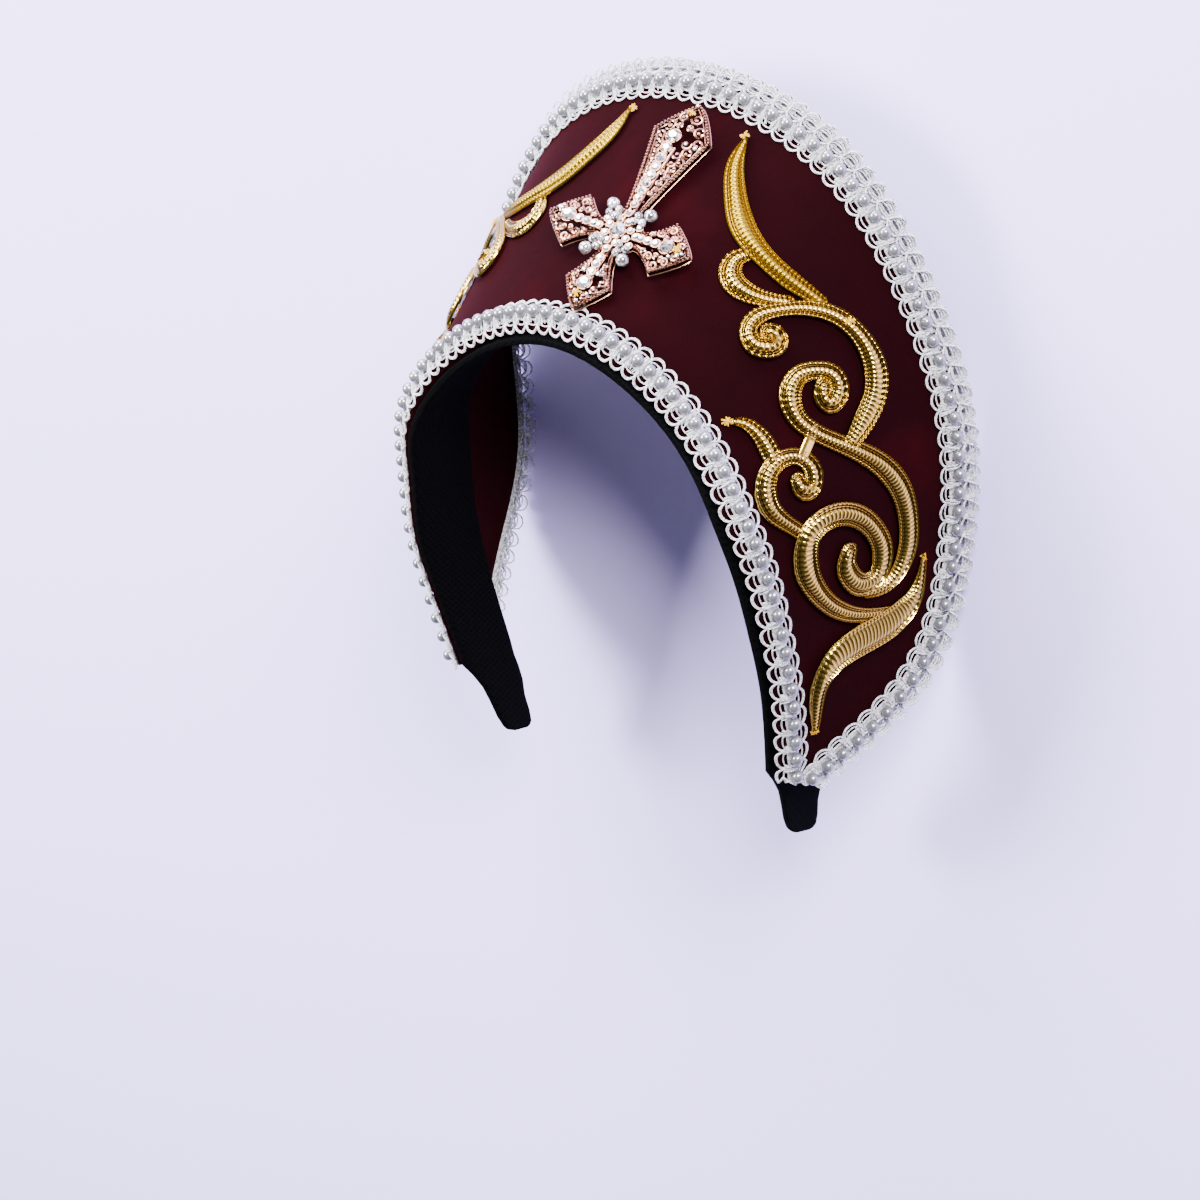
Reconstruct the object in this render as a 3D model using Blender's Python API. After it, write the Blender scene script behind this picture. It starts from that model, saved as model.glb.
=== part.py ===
"""French hood: a stiff velvet crescent with pearl gimp, gilt scrolls and a cross brooch.

Everything is shaped in the worn pose, in millimetres: x to the wearer's left, -y to the
front, +z up, z = 0 near the two tips at the ears. One empty then lays the finished hood
down on its flat back rim, with its decorated front up.
"""
import math

import bmesh
import bpy
import numpy as np
from mathutils import Matrix, Vector

MM = 0.001

# Edge stations from the crown to a tip: inner edge (x, y, z), rim (x, y, z)
# The y of the first rim rows is left None, because there the rim lies in one plane.
EDGES = [
    ((0, -28, 152), (0, None, 210)),
    ((41, -25.5, 134), (50, None, 193)),
    ((62, -25, 106), (79, None, 151)),
    ((68, -19, 82), (92, None, 106)),
    ((71, -13, 57), (90, 67, 56)),
    ((70, -5, 31), (86, 50, 22)),
    ((66, 4, 0), (69, 15, -4)),
]
RIM_PLANE_Y = 56.0
RIM_PLANE_SLOPE = 0.09
RIM_PLANE_STATIONS = 4
RIM_PLANE_FADE = 0.08
CROWN_Z = 210.0
SHELL_ROWS = 48
SHELL_THICKNESS = 2.6
SHELL_BULGE = 1.0
EDGE_ROUND = 0.7
GAP = 0.35

# Crescent section: share of the width, height of the front, height of the back
SHELL_SECTION = [
    (0.0, -EDGE_ROUND, EDGE_ROUND - SHELL_THICKNESS),
    (0.012, 0.0, -SHELL_THICKNESS),
    (0.25, 0.0, -SHELL_THICKNESS),
    (0.5, 0.0, -SHELL_THICKNESS),
    (0.75, 0.0, -SHELL_THICKNESS),
    (0.988, 0.0, -SHELL_THICKNESS),
    (1.0, -EDGE_ROUND, EDGE_ROUND - SHELL_THICKNESS),
]

BAND_WIDTH = 30.0
BAND_AHEAD = 3.0
BAND_THICKNESS = 2.4
# Band section: share of the width, height of the outer face, height of the inner face
BAND_SECTION = [
    (0.0, -EDGE_ROUND, EDGE_ROUND - BAND_THICKNESS),
    (0.03, 0.0, -BAND_THICKNESS),
    (0.97, 0.0, -BAND_THICKNESS),
    (1.0, -EDGE_ROUND, EDGE_ROUND - BAND_THICKNESS),
]
# How far the band leans away from the crescent, in degrees, from the crown to a tip
BAND_LEAN = [30.0, 26.0, 20.0, 16.0, 14.0, 13.0, 12.0]
# Band ends below the tip: drop along the edge's own direction, shift to the rear, width
BAND_END = [
    (5, 3.6, 26.6), (11, 6.6, 23.0), (18, 7.8, 19.6), (25, 8.6, 18.2), (29.5, 10.0, 15.6),
    (31.8, 13.4, 8.6),
]

LACE_HALF_WIDTH = 6.3
LACE_THICKNESS = 0.65
PEARL_INSET = 4.5
PEARL_RADIUS = 2.1
PEARL_STEP = 11.5
LINE_SAMPLES = 601
RIM_LACE_FRONT = 1.5
RIM_LACE_BACK = -4.2
RIM_PEARL_HEIGHT = -1.3

# Gilt scrolls of the left side: along (percent, crown to tip), across (percent, inner
# edge to rim), width (millimetres); one row at each bend
SCROLLS = {
    "top_leaf": [
        (7, 84.5, 1.5), (7.5, 76, 5.5), (9.5, 66, 7.5), (12, 59.5, 8.5), (15.5, 57.5, 7),
        (19, 59, 6.5), (23.5, 64, 4),
    ],
    "loop_leaf": [
        (14.5, 56.5, 3), (13, 50, 6.5), (13.5, 45.5, 8), (14.5, 44.5, 8), (16.5, 46, 6.5),
        (18.5, 49.5, 5), (20.5, 54.5, 4),
    ],
    "crest": [
        (20.5, 43, 2.5), (21.6, 45, 4.5), (22.3, 43.5, 6), (21.5, 39, 6.8), (20, 36.3, 7),
        (18.6, 37.5, 6), (18.6, 43, 5.5), (20, 49.5, 4.5), (22, 56.5, 5), (26.5, 67, 6),
        (31.5, 71.5, 7.5), (34.5, 71, 9), (36.8, 67, 8.8), (38.3, 60, 8.5), (39.5, 53, 6),
    ],
    "vine": [
        (31, 50, 3), (31.2, 48, 5), (32.8, 50.5, 6.5), (32.8, 55, 7), (30.8, 56, 6.5),
        (28.5, 51, 6), (27, 43, 7), (28, 38, 8), (30.5, 37, 7), (33.5, 40, 6),
        (38.5, 48.5, 6), (44, 59, 7.5), (50.5, 68, 8.5), (56.5, 71, 8.5), (61, 68.5, 8.5),
        (63.5, 60, 5.5), (63.5, 50, 3),
    ],
    "side_leaf": [
        (23.5, 14.5, 1.5), (25, 18.5, 3.5), (28, 22, 5.5), (30.5, 23, 7), (32.5, 23, 6.5),
    ],
    "hook": [
        (38.5, 28, 3), (40.3, 29, 5), (41, 33, 6.5), (39.5, 35, 7), (37, 34.5, 6),
        (35, 31.5, 5.5), (33.5, 26, 6), (33.5, 20, 7), (35, 16.5, 8), (38.5, 15.5, 7.5),
        (43, 19, 5.5), (47, 24, 5),
    ],
    "bridge": [(34, 41, 4), (35.8, 33.5, 4)],
    "volute": [
        (55, 41.5, 5), (56.5, 40, 6.5), (59.5, 42, 7), (61.5, 48, 7.5), (61.3, 54, 8.5),
        (58.5, 57.5, 9), (55, 55.5, 8), (50.5, 48, 8), (47.5, 36.5, 8.5), (48, 27, 9.5),
        (52.5, 22.5, 10), (58.5, 25, 8), (64, 35, 6.5), (67, 49.5, 5), (68, 62, 4),
    ],
    "low_leaf": [
        (62, 79, 2.5), (65, 78, 5.5), (67.5, 75, 9.5), (70, 64, 12), (71.5, 46, 12),
        (74, 32.5, 11), (78, 26, 8), (83.5, 25.5, 5.5), (88.5, 30, 2.5),
    ],
}
SCROLL_STEP = 5.6
SCROLL_EDGE_HEIGHT = 0.9
SCROLL_CROWN_HEIGHT = 2.3
SCROLL_BASE_STEP = 0.04
# Share of a bend's radius that a scroll reaches inwards
SCROLL_TURN_SHARE = 0.85

# Cross brooch: its place, and its arms
BROOCH_X = 3.2
BROOCH_FROM_EDGE = 37.5
BROOCH_BASE = 1.3
BROOCH_TOP = 3.3
# Arm: bearing in degrees, tip, corner distance, half width there, waist distance,
# half width there, power of the flare between them
ARMS = [
    (0, 26.5, 16.5, 9.6, 6.5, 3.0, 1.8),
    (90, 51.8, 39.6, 10.5, 9.0, 3.0, 1.15),
    (180, 26.5, 16.5, 9.6, 6.5, 3.0, 1.8),
    (270, 29.0, 19.4, 8.2, 7.5, 3.0, 1.4),
]
ARM_STEPS = (0.0, 0.35, 0.7, 1.0)
ARM_END_OUT = 0.6
ARM_END_HALF = 0.5
# Pierced openings of an arm: arm, distance out, offset to each side, half length, half width
PIERCINGS = [
    (1, 44.8, 2.9, 2.4, 1.3), (1, 38.6, 6.3, 2.4, 1.7), (1, 31.8, 4.9, 2.2, 1.5),
    (1, 25.4, 3.9, 1.9, 1.1), (1, 19.6, 3.2, 1.7, 0.8),
    (0, 19.6, 5.1, 1.6, 1.7), (0, 13.8, 4.0, 2.2, 1.0),
    (2, 19.6, 5.1, 1.6, 1.7), (2, 13.8, 4.0, 2.2, 1.0),
    (3, 22.4, 3.9, 1.5, 1.2), (3, 16.4, 3.4, 2.0, 1.0),
]
# Stones: bearing in degrees, distance out, radius
STONES = [
    (0, 0.0, 2.6), (90, 38.0, 2.3), (180, 18.8, 2.3), (270, 20.6, 2.3), (0, 18.6, 2.3),
    (90, 32.5, 1.5), (90, 28.3, 1.4), (90, 24.3, 1.3), (90, 20.4, 1.3), (90, 16.6, 1.2),
    (90, 12.9, 1.2), (180, 14.2, 1.3), (180, 10.8, 1.2), (0, 14.0, 1.3), (0, 10.6, 1.2),
    (270, 15.8, 1.3), (270, 12.2, 1.2),
    (0, 4.6, 1.6), (90, 5.2, 1.6), (180, 4.6, 1.6), (270, 5.2, 1.6),
]
PIERCING_SIDES = 6
STONE_FACETS = 8
STONE_SEAT = 0.8
# The stones stand on the domed filigree, above the rim of the cross
STONE_LIFT = 1.6
STONE_RISE = 0.45
STONE_TABLE = 0.6
CENTRE_RADIUS = 9.9
CENTRE_STEP = 0.3
CENTRE_SIDES = 14
CORNER_BEAD_AT = (7.0, 8.7)
CORNER_BEAD_RADIUS = 2.1
CORNER_BEAD_SIDES = 10
CORNER_BEAD_RINGS = 5
WELD = 0.002
# Step along the hood from which directions are worked out
SMALL_STEP = 0.001


def clear_scene():
    for item in list(bpy.data.objects):
        bpy.data.objects.remove(item, do_unlink=True)


def make_material(name, colour, roughness, metallic=0.0):
    material = bpy.data.materials.new(name)
    material.use_nodes = True
    shader = material.node_tree.nodes["Principled BSDF"]
    shader.inputs["Base Color"].default_value = (*colour, 1.0)
    shader.inputs["Roughness"].default_value = roughness
    shader.inputs["Metallic"].default_value = metallic
    return material


def unit(vectors):
    return vectors / np.linalg.norm(vectors, axis=-1, keepdims=True)


def spline(knots, values):
    """Natural cubic spline through the values, returned as a function of the knots' axis."""
    k = np.asarray(knots, float)
    v = np.asarray(values, float)
    count = len(k)
    step = np.diff(k)
    system = np.eye(count)
    right = np.zeros_like(v)
    for i in range(1, count - 1):
        system[i, i - 1:i + 2] = step[i - 1], 2 * (step[i - 1] + step[i]), step[i]
        right[i] = 6 * ((v[i + 1] - v[i]) / step[i] - (v[i] - v[i - 1]) / step[i - 1])
    bend = np.linalg.solve(system, right)

    def at(places):
        places = np.atleast_1d(np.asarray(places, float))
        i = np.clip(np.searchsorted(k, places) - 1, 0, count - 2)
        s = (places - k[i])[:, None]
        w = step[i][:, None]
        slope = (v[i + 1] - v[i]) / w - w * (2 * bend[i] + bend[i + 1]) / 6
        return v[i] + s * (slope + s * (bend[i] / 2 + s * (bend[i + 1] - bend[i]) / (6 * w)))

    return at


def edge_curve(column):
    """Inner edge (0) or rim (1) from tip to tip, as a function of -1 to 1."""
    half = []
    for row in EDGES:
        x, y, z = row[column]
        if y is None:
            y = RIM_PLANE_Y + RIM_PLANE_SLOPE * (CROWN_Z - z)
        half.append(np.array((x, y, z), float))
    mirrored = [point * (-1, 1, 1) for point in half[:0:-1]]
    return spline(np.linspace(-1, 1, 2 * len(EDGES) - 1), mirrored + half)


inner_edge = edge_curve(0)
rim_edge = edge_curve(1)


def between_edges(along, across):
    """Point on the straight line from the inner edge to the rim."""
    return inner_edge(along) * (1 - across)[:, None] + rim_edge(along) * across[:, None]


def face_frame(along, across=0.0):
    """Point on the inner edge, unit vector to the rim, width and outward normal."""
    along = np.atleast_1d(np.asarray(along, float))
    across = np.broadcast_to(np.asarray(across, float), along.shape)
    reach = rim_edge(along) - inner_edge(along)
    step = between_edges(along + SMALL_STEP, across) - between_edges(along - SMALL_STEP, across)
    normal = unit(np.cross(step, reach))
    width = np.linalg.norm(reach, axis=-1)
    return inner_edge(along), reach / width[:, None], width, normal


def face(along, across, height=0.0):
    """Point over the velvet face: along -1 to 1, across 0 to 1, height in millimetres."""
    start, outward, width, normal = face_frame(along, across)
    across = np.broadcast_to(np.asarray(across, float), width.shape)
    swell = height + SHELL_BULGE * 4 * across * (1 - across)
    return start + outward * (across * width)[:, None] + normal * np.reshape(swell, (-1, 1))


def face_at(along, distance, height):
    """The same, with the distance from the inner edge in millimetres."""
    _, _, width, _ = face_frame(along)
    return face(along, distance / width, height)


def lay(mesh_name, bm):
    """Write a closed bmesh, modelled in millimetres, to a new mesh in metres."""
    if bm.calc_volume(signed=True) < 0:
        bmesh.ops.reverse_faces(bm, faces=bm.faces)
    bmesh.ops.scale(bm, vec=(MM, MM, MM), verts=bm.verts)
    mesh = bpy.data.meshes.new(mesh_name)
    bm.to_mesh(mesh)
    bm.free()
    return mesh


def add_object(name, data, material):
    item = bpy.data.objects.new(name, data)
    bpy.context.scene.collection.objects.link(item)
    data.materials.clear()
    data.materials.append(material)
    if item.type == "MESH":
        data.shade_smooth()
        data.set_sharp_from_angle(angle=math.radians(40))
    return item


def slab(front, back):
    """Closed sheet between two grids of points, each of shape (rows, columns, 3)."""
    rows, columns = front.shape[:2]
    bm = bmesh.new()
    bmesh.ops.create_grid(bm, x_segments=columns - 1, y_segments=rows - 1, size=0.5)
    made = bmesh.ops.extrude_face_region(bm, geom=bm.faces[:])["geom"]
    lifted = [item for item in made if isinstance(item, bmesh.types.BMVert)]
    bmesh.ops.translate(bm, vec=(0, 0, 1), verts=lifted)
    layers = (back, front)
    for vert in bm.verts:
        column = round((vert.co.x + 0.5) * (columns - 1))
        row = round((vert.co.y + 0.5) * (rows - 1))
        vert.co = layers[round(vert.co.z)][row, column]
    bmesh.ops.recalc_face_normals(bm, faces=bm.faces)
    return bm


def shell_rows():
    return np.linspace(-1, 1, SHELL_ROWS + 1)


def build_crescent(material):
    rows = shell_rows()
    front = np.stack([face(rows, v, top) for v, top, _ in SHELL_SECTION], axis=1)
    back = np.stack([face(rows, v, low) for v, _, low in SHELL_SECTION], axis=1)
    return add_object("crescent", lay("crescent", slab(front, back)), material)


def band_frame(along):
    """Front corner of the band's outer face, its width direction and its outward normal."""
    start, outward, _, normal = face_frame(along)
    lean_at = spline(np.linspace(0, 1, len(BAND_LEAN)), np.array(BAND_LEAN)[:, None])
    lean = np.radians(lean_at(np.abs(along)))
    rearward = outward * np.cos(lean) - normal * np.sin(lean)
    up = outward * np.sin(lean) + normal * np.cos(lean)
    corner = start - normal * (SHELL_THICKNESS + GAP) - rearward * BAND_AHEAD
    return corner, rearward, up


def mirrored_rows(half):
    """Rows of both sides, from the rows of the left side, the first of which is the crown's."""
    return np.concatenate([half[:0:-1] * (-1, 1, 1), half])


def band_half():
    """Rows of the left half of the band: front corner, width direction, outward, width."""
    rows = np.linspace(0, 1, SHELL_ROWS // 2 + 1)
    corner, rearward, outward = band_frame(rows)
    width = np.full(len(rows), BAND_WIDTH)
    down = unit(corner[-1] - corner[-2])
    ends = [corner[-1] + down * drop + rearward[-1] * shift for drop, shift, _ in BAND_END]
    corner = np.vstack([corner, ends])
    rearward = np.vstack([rearward, [rearward[-1]] * len(ends)])
    flat = unit(np.cross(down, rearward[-1]))
    outward = np.vstack([outward[:-1], [flat] * (len(ends) + 1)])
    width = np.append(width, [end_width for *_, end_width in BAND_END])
    return corner, rearward, outward, width


def build_headband(material):
    corner, rearward, outward, width = band_half()
    layers = []
    for level in (1, 2):
        columns = [
            mirrored_rows(corner + rearward * (part[0] * width)[:, None] + outward * part[level])
            for part in BAND_SECTION
        ]
        layers.append(np.stack(columns, axis=1))
    return add_object("headband", lay("headband", slab(*layers)), material)


def face_width(rows):
    return face_frame(rows)[2]


def build_inner_lace(material):
    rows = shell_rows()
    far = np.minimum(PEARL_INSET + LACE_HALF_WIDTH, face_width(rows) / 2 - GAP / 2)
    near = np.full(len(rows), PEARL_INSET - LACE_HALF_WIDTH)
    return build_lace("inner_lace", rows, near, far, material)


def build_outer_lace(material):
    rows = shell_rows()
    width = face_width(rows)
    near = np.maximum(width - PEARL_INSET - LACE_HALF_WIDTH, width / 2 + GAP / 2)
    return build_lace("outer_lace", rows, near, width, material)


def build_lace(name, rows, near, far, material):
    """Flat gimp strip that lies on the face between two distances from the inner edge."""
    low, high = GAP, GAP + LACE_THICKNESS
    places = (near, (near + far) / 2, far)
    front = np.stack([face_at(rows, place, high) for place in places], axis=1)
    back = np.stack([face_at(rows, place, low) for place in places], axis=1)
    return add_object(name, lay(name, slab(front, back)), material)


def rim_point(rows, beyond, height):
    """Point square to the rim, beyond it in the face's own plane, at a height over the face."""
    _, outward, _, normal = face_frame(rows, 1.0)
    tangent = unit(rim_edge(rows + SMALL_STEP) - rim_edge(rows - SMALL_STEP))
    square = unit(outward - tangent * np.sum(outward * tangent, axis=1, keepdims=True))
    return rim_edge(rows) + square * beyond + normal * height


def build_rim_lace(material):
    rows = shell_rows()
    heights = (RIM_LACE_BACK, RIM_LACE_FRONT)
    front = np.stack([rim_point(rows, GAP + LACE_THICKNESS, h) for h in heights], axis=1)
    back = np.stack([rim_point(rows, GAP, h) for h in heights], axis=1)
    return add_object("rim_lace", lay("rim_lace", slab(front, back)), material)


def pearl_height():
    return GAP + LACE_THICKNESS + GAP + PEARL_RADIUS


def inner_pearl_line(rows):
    inset = np.minimum(PEARL_INSET, face_width(rows) / 2 - PEARL_RADIUS - GAP / 2)
    return face_at(rows, inset, pearl_height())


def outer_pearl_line(rows):
    width = face_width(rows)
    inset = np.maximum(width - PEARL_INSET, width / 2 + PEARL_RADIUS + GAP / 2)
    return face_at(rows, inset, pearl_height())


def rim_pearl_line(rows):
    """The string over the rim, with its stretch along the flat of the rim in one plane."""
    points = rim_point(rows, pearl_height(), RIM_PEARL_HEIGHT)
    floor = unit(np.array((0.0, 1.0, RIM_PLANE_SLOPE)))
    depth = points @ floor
    flat_end = (RIM_PLANE_STATIONS - 1) / (len(EDGES) - 1)
    blend = np.clip((flat_end - np.abs(rows)) / RIM_PLANE_FADE, 0, 1)
    drop = (depth.max() - depth) * blend
    return points + floor * drop[:, None]


def evenly(points, step):
    """Points at equal steps along a dense path."""
    length = np.append(0, np.cumsum(np.linalg.norm(np.diff(points, axis=0), axis=1)))
    count = round(length[-1] / step) + 1
    wanted = np.linspace(0, length[-1], count)
    return np.stack([np.interp(wanted, length, points[:, i]) for i in range(3)], axis=1)


def build_pearls(name, line, material):
    """String of pearls as a round tube through the pearls' centres."""
    points = evenly(line(np.linspace(-1, 1, LINE_SAMPLES)), PEARL_STEP) * MM
    curve = bpy.data.curves.new(name, "CURVE")
    curve.dimensions = "3D"
    curve.bevel_depth = PEARL_RADIUS * MM
    curve.bevel_resolution = 2
    curve.use_fill_caps = True
    path = curve.splines.new("POLY")
    path.points.add(len(points) - 1)
    for node, point in zip(path.points, points):
        node.co = (*point, 1.0)
    return add_object(name, curve, material)


def scroll_path(bends):
    """Centre line of a scroll: along, across and width at equal steps."""
    bends = np.array(bends, float) * (0.01, 0.01, 1)
    points = face(bends[:, 0], bends[:, 1])
    length = np.append(0, np.cumsum(np.linalg.norm(np.diff(points, axis=0), axis=1)))
    count = max(3, round(length[-1] / SCROLL_STEP) + 1)
    return spline(length, bends)(np.linspace(0, length[-1], count))


def half_widths(points, side, width):
    """Width to the left and right, kept short of the centre of a tight bend."""
    step = np.linalg.norm(np.gradient(points, axis=0), axis=1)[:, None]
    tangent = unit(np.gradient(points, axis=0))
    turn = np.sum(np.gradient(tangent, axis=0) / step * side, axis=1)
    reach = SCROLL_TURN_SHARE / np.maximum(np.abs(turn), 1e-6)
    inside = np.minimum(width / 2, reach)
    left = np.where(turn > 0, inside, width / 2)
    right = np.where(turn < 0, inside, width / 2)
    return left[:, None], right[:, None]


def scroll_slab(bends, base):
    """One ribbon of the gilt scrolls: a flat back and a raised spine."""
    path = scroll_path(bends)
    along, across, width = path.T
    centre = face(along, across, base)
    _, _, _, normal = face_frame(along, across)
    side = unit(np.cross(normal, np.gradient(centre, axis=0)))
    left, right = half_widths(centre, side, width)
    back = np.stack([centre + side * left, centre, centre - side * right], axis=1)
    rise = (SCROLL_EDGE_HEIGHT, SCROLL_CROWN_HEIGHT, SCROLL_EDGE_HEIGHT)
    front = back + normal[:, None] * np.array(rise)[None, :, None]
    return slab(front, back)


def helper(name, bm, collection):
    """Shape that is joined to or cut from another, and isn't kept."""
    item = bpy.data.objects.new(name, lay(name, bm))
    collection.objects.link(item)
    item.hide_render = True
    item.display_type = "WIRE"
    return item


def helper_collection(name):
    collection = bpy.data.collections.new(name)
    bpy.context.scene.collection.children.link(collection)
    return collection


def boolean(item, operation, collection):
    modifier = item.modifiers.new(operation.lower(), "BOOLEAN")
    modifier.operation = operation
    modifier.solver = "EXACT"
    modifier.operand_type = "COLLECTION"
    modifier.collection = collection


def evaluated_bmesh(item):
    """The object's mesh with its modifiers, in millimetres."""
    bpy.context.view_layer.update()
    graph = bpy.context.evaluated_depsgraph_get()
    mesh = bpy.data.meshes.new_from_object(item.evaluated_get(graph))
    bm = bmesh.new()
    bm.from_mesh(mesh)
    bpy.data.meshes.remove(mesh)
    bmesh.ops.scale(bm, vec=(1 / MM, 1 / MM, 1 / MM), verts=bm.verts)
    return bm


def discard(collections):
    for collection in collections:
        for item in list(collection.objects):
            bpy.data.objects.remove(item, do_unlink=True)
        bpy.data.collections.remove(collection)


def clean(bm):
    bmesh.ops.remove_doubles(bm, verts=bm.verts, dist=WELD)
    bmesh.ops.dissolve_degenerate(bm, dist=WELD, edges=bm.edges)
    bmesh.ops.triangulate(bm, faces=bm.faces)


def build_appliques(material):
    """Gilt scrolls of the left side, joined into one casting, and their mirror image."""
    others = helper_collection("scrolls")
    slabs = [
        scroll_slab(bends, GAP + index * SCROLL_BASE_STEP)
        for index, bends in enumerate(SCROLLS.values())
    ]
    for name, bm in zip(list(SCROLLS)[1:], slabs[1:]):
        helper(name, bm, others)
    left = add_object("applique_left", lay("applique_left", slabs[0]), material)
    boolean(left, "UNION", others)
    bm = evaluated_bmesh(left)
    clean(bm)
    mirror = bm.copy()
    bmesh.ops.scale(mirror, vec=(-1, 1, 1), verts=mirror.verts)
    bmesh.ops.reverse_faces(mirror, faces=mirror.faces)
    bpy.data.objects.remove(left, do_unlink=True)
    discard([others])
    return [
        add_object("applique_left", lay("applique_left", bm), material),
        add_object("applique_right", lay("applique_right", mirror), material),
    ]


def polar(bearing, out, side=0.0):
    """Place on the flat brooch: a distance out along a bearing, and to its left."""
    angle = math.radians(bearing)
    return Vector((
        out * math.cos(angle) - side * math.sin(angle),
        out * math.sin(angle) + side * math.cos(angle),
        0.0,
    ))


def brooch_outline():
    """Outline of the cross, anticlockwise, arm by arm."""
    points = []
    for bearing, tip, corner, corner_half, waist, waist_half, flare in ARMS:
        side = [
            (waist + (corner - waist) * s, waist_half + (corner_half - waist_half) * s ** flare)
            for s in ARM_STEPS
        ]
        side.append((corner + ARM_END_OUT * (tip - corner), corner_half * ARM_END_HALF))
        points += [polar(bearing, out, -half) for out, half in side]
        points.append(polar(bearing, tip))
        points += [polar(bearing, out, half) for out, half in reversed(side)]
    return points


def brooch_plate():
    bm = bmesh.new()
    outline = bm.faces.new([bm.verts.new(point) for point in brooch_outline()])
    made = bmesh.ops.extrude_face_region(bm, geom=[outline])["geom"]
    lifted = [item for item in made if isinstance(item, bmesh.types.BMVert)]
    bmesh.ops.translate(bm, vec=(0, 0, BROOCH_TOP - BROOCH_BASE), verts=lifted)
    bmesh.ops.translate(bm, vec=(0, 0, BROOCH_BASE), verts=bm.verts)
    bmesh.ops.recalc_face_normals(bm, faces=bm.faces)
    return bm


def cone(place, radii, depth, turn=0.0, stretch=(1, 1, 1), sides=STONE_FACETS):
    """Cone or cylinder about a place, stretched and then turned about its axis."""
    bm = bmesh.new()
    spread = Matrix.Rotation(turn, 4, "Z") @ Matrix.Diagonal((*stretch, 1))
    bmesh.ops.create_cone(
        bm, cap_ends=True, segments=sides, radius1=radii[0], radius2=radii[1], depth=depth,
        matrix=Matrix.Translation(place) @ spread,
    )
    return bm


def add_piercings(collection):
    for index, (arm, out, offset, half_length, half_width) in enumerate(PIERCINGS):
        bearing = ARMS[arm][0]
        for side in (-1, 1):
            place = polar(bearing, out, side * offset)
            place.z = (BROOCH_BASE + BROOCH_TOP) / 2
            stretch = (half_length, half_width, 1)
            turn = math.radians(bearing)
            bm = cone(place, (1, 1), BROOCH_TOP * 2, turn, stretch, PIERCING_SIDES)
            helper(f"piercing_{index}_{side}", bm, collection)


def add_stones(collection):
    """Cut stones with a table, the round centre plate and the four corner beads."""
    seat = BROOCH_TOP - STONE_SEAT
    for index, (bearing, out, radius) in enumerate(STONES):
        place = polar(bearing, out)
        height = STONE_SEAT + STONE_LIFT + radius * STONE_RISE
        place.z = seat + height / 2
        helper(f"stone_{index}", cone(place, (radius, radius * STONE_TABLE), height), collection)
    plate = Vector((0, 0, (BROOCH_BASE + BROOCH_TOP) / 2))
    depth = BROOCH_TOP - BROOCH_BASE - CENTRE_STEP
    centre = cone(plate, (CENTRE_RADIUS, CENTRE_RADIUS), depth, sides=CENTRE_SIDES)
    helper("centre", centre, collection)
    for x in (-1, 1):
        for y in (-1, 1):
            bm = bmesh.new()
            place = Vector((x * CORNER_BEAD_AT[0], y * CORNER_BEAD_AT[1], BROOCH_TOP))
            bmesh.ops.create_uvsphere(
                bm, u_segments=CORNER_BEAD_SIDES, v_segments=CORNER_BEAD_RINGS,
                radius=CORNER_BEAD_RADIUS, matrix=Matrix.Translation(place),
            )
            helper(f"bead_{x}_{y}", bm, collection)


def brooch_frame():
    """Middle of the brooch on the face, and its right, upward and outward directions."""
    near, far = face_at(np.array([-SMALL_STEP, SMALL_STEP]), BROOCH_FROM_EDGE, 0.0)
    along = BROOCH_X * 2 * SMALL_STEP / np.linalg.norm(far - near)
    middle, beside = face_at(np.array([along, along + SMALL_STEP]), BROOCH_FROM_EDGE, 0.0)
    ahead = face_at(np.array([along]), BROOCH_FROM_EDGE + 1, 0.0)[0] - middle
    right = unit(beside - middle)
    ahead = unit(ahead - right * (ahead @ right))
    return middle, right, ahead, np.cross(right, ahead)


def lay_on_face(bm):
    """Lay the stiff brooch flat on the face, which it touches along its long arms."""
    middle, right, ahead, outward = brooch_frame()
    bmesh.ops.triangulate(bm, faces=bm.faces)
    for vert in bm.verts:
        x, y, z = vert.co
        vert.co = middle + right * x + ahead * y + outward * z


def build_brooch(material):
    cuts = helper_collection("piercings")
    stones = helper_collection("stones")
    add_piercings(cuts)
    add_stones(stones)
    brooch = add_object("brooch", lay("brooch", brooch_plate()), material)
    boolean(brooch, "DIFFERENCE", cuts)
    boolean(brooch, "UNION", stones)
    bm = evaluated_bmesh(brooch)
    clean(bm)
    lay_on_face(bm)
    bpy.data.objects.remove(brooch, do_unlink=True)
    discard([cuts, stones])
    return add_object("brooch", lay("brooch", bm), material)


def lay_down(parts):
    """Parent the pieces to one empty that lays the hood on its flat rim, centred."""
    rest = bpy.data.objects.new("rest_pose", None)
    bpy.context.scene.collection.objects.link(rest)
    rest.rotation_euler.x = math.atan(RIM_PLANE_SLOPE) - math.pi / 2
    for part in parts:
        part.parent = rest
    bpy.context.view_layer.update()
    graph = bpy.context.evaluated_depsgraph_get()
    points = []
    for part in parts:
        shown = part.evaluated_get(graph)
        mesh = shown.to_mesh()
        points += [shown.matrix_world @ vert.co for vert in mesh.vertices]
        shown.to_mesh_clear()
    y = [point.y for point in points]
    rest.location = (0, -(min(y) + max(y)) / 2, -min(point.z for point in points))


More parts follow.
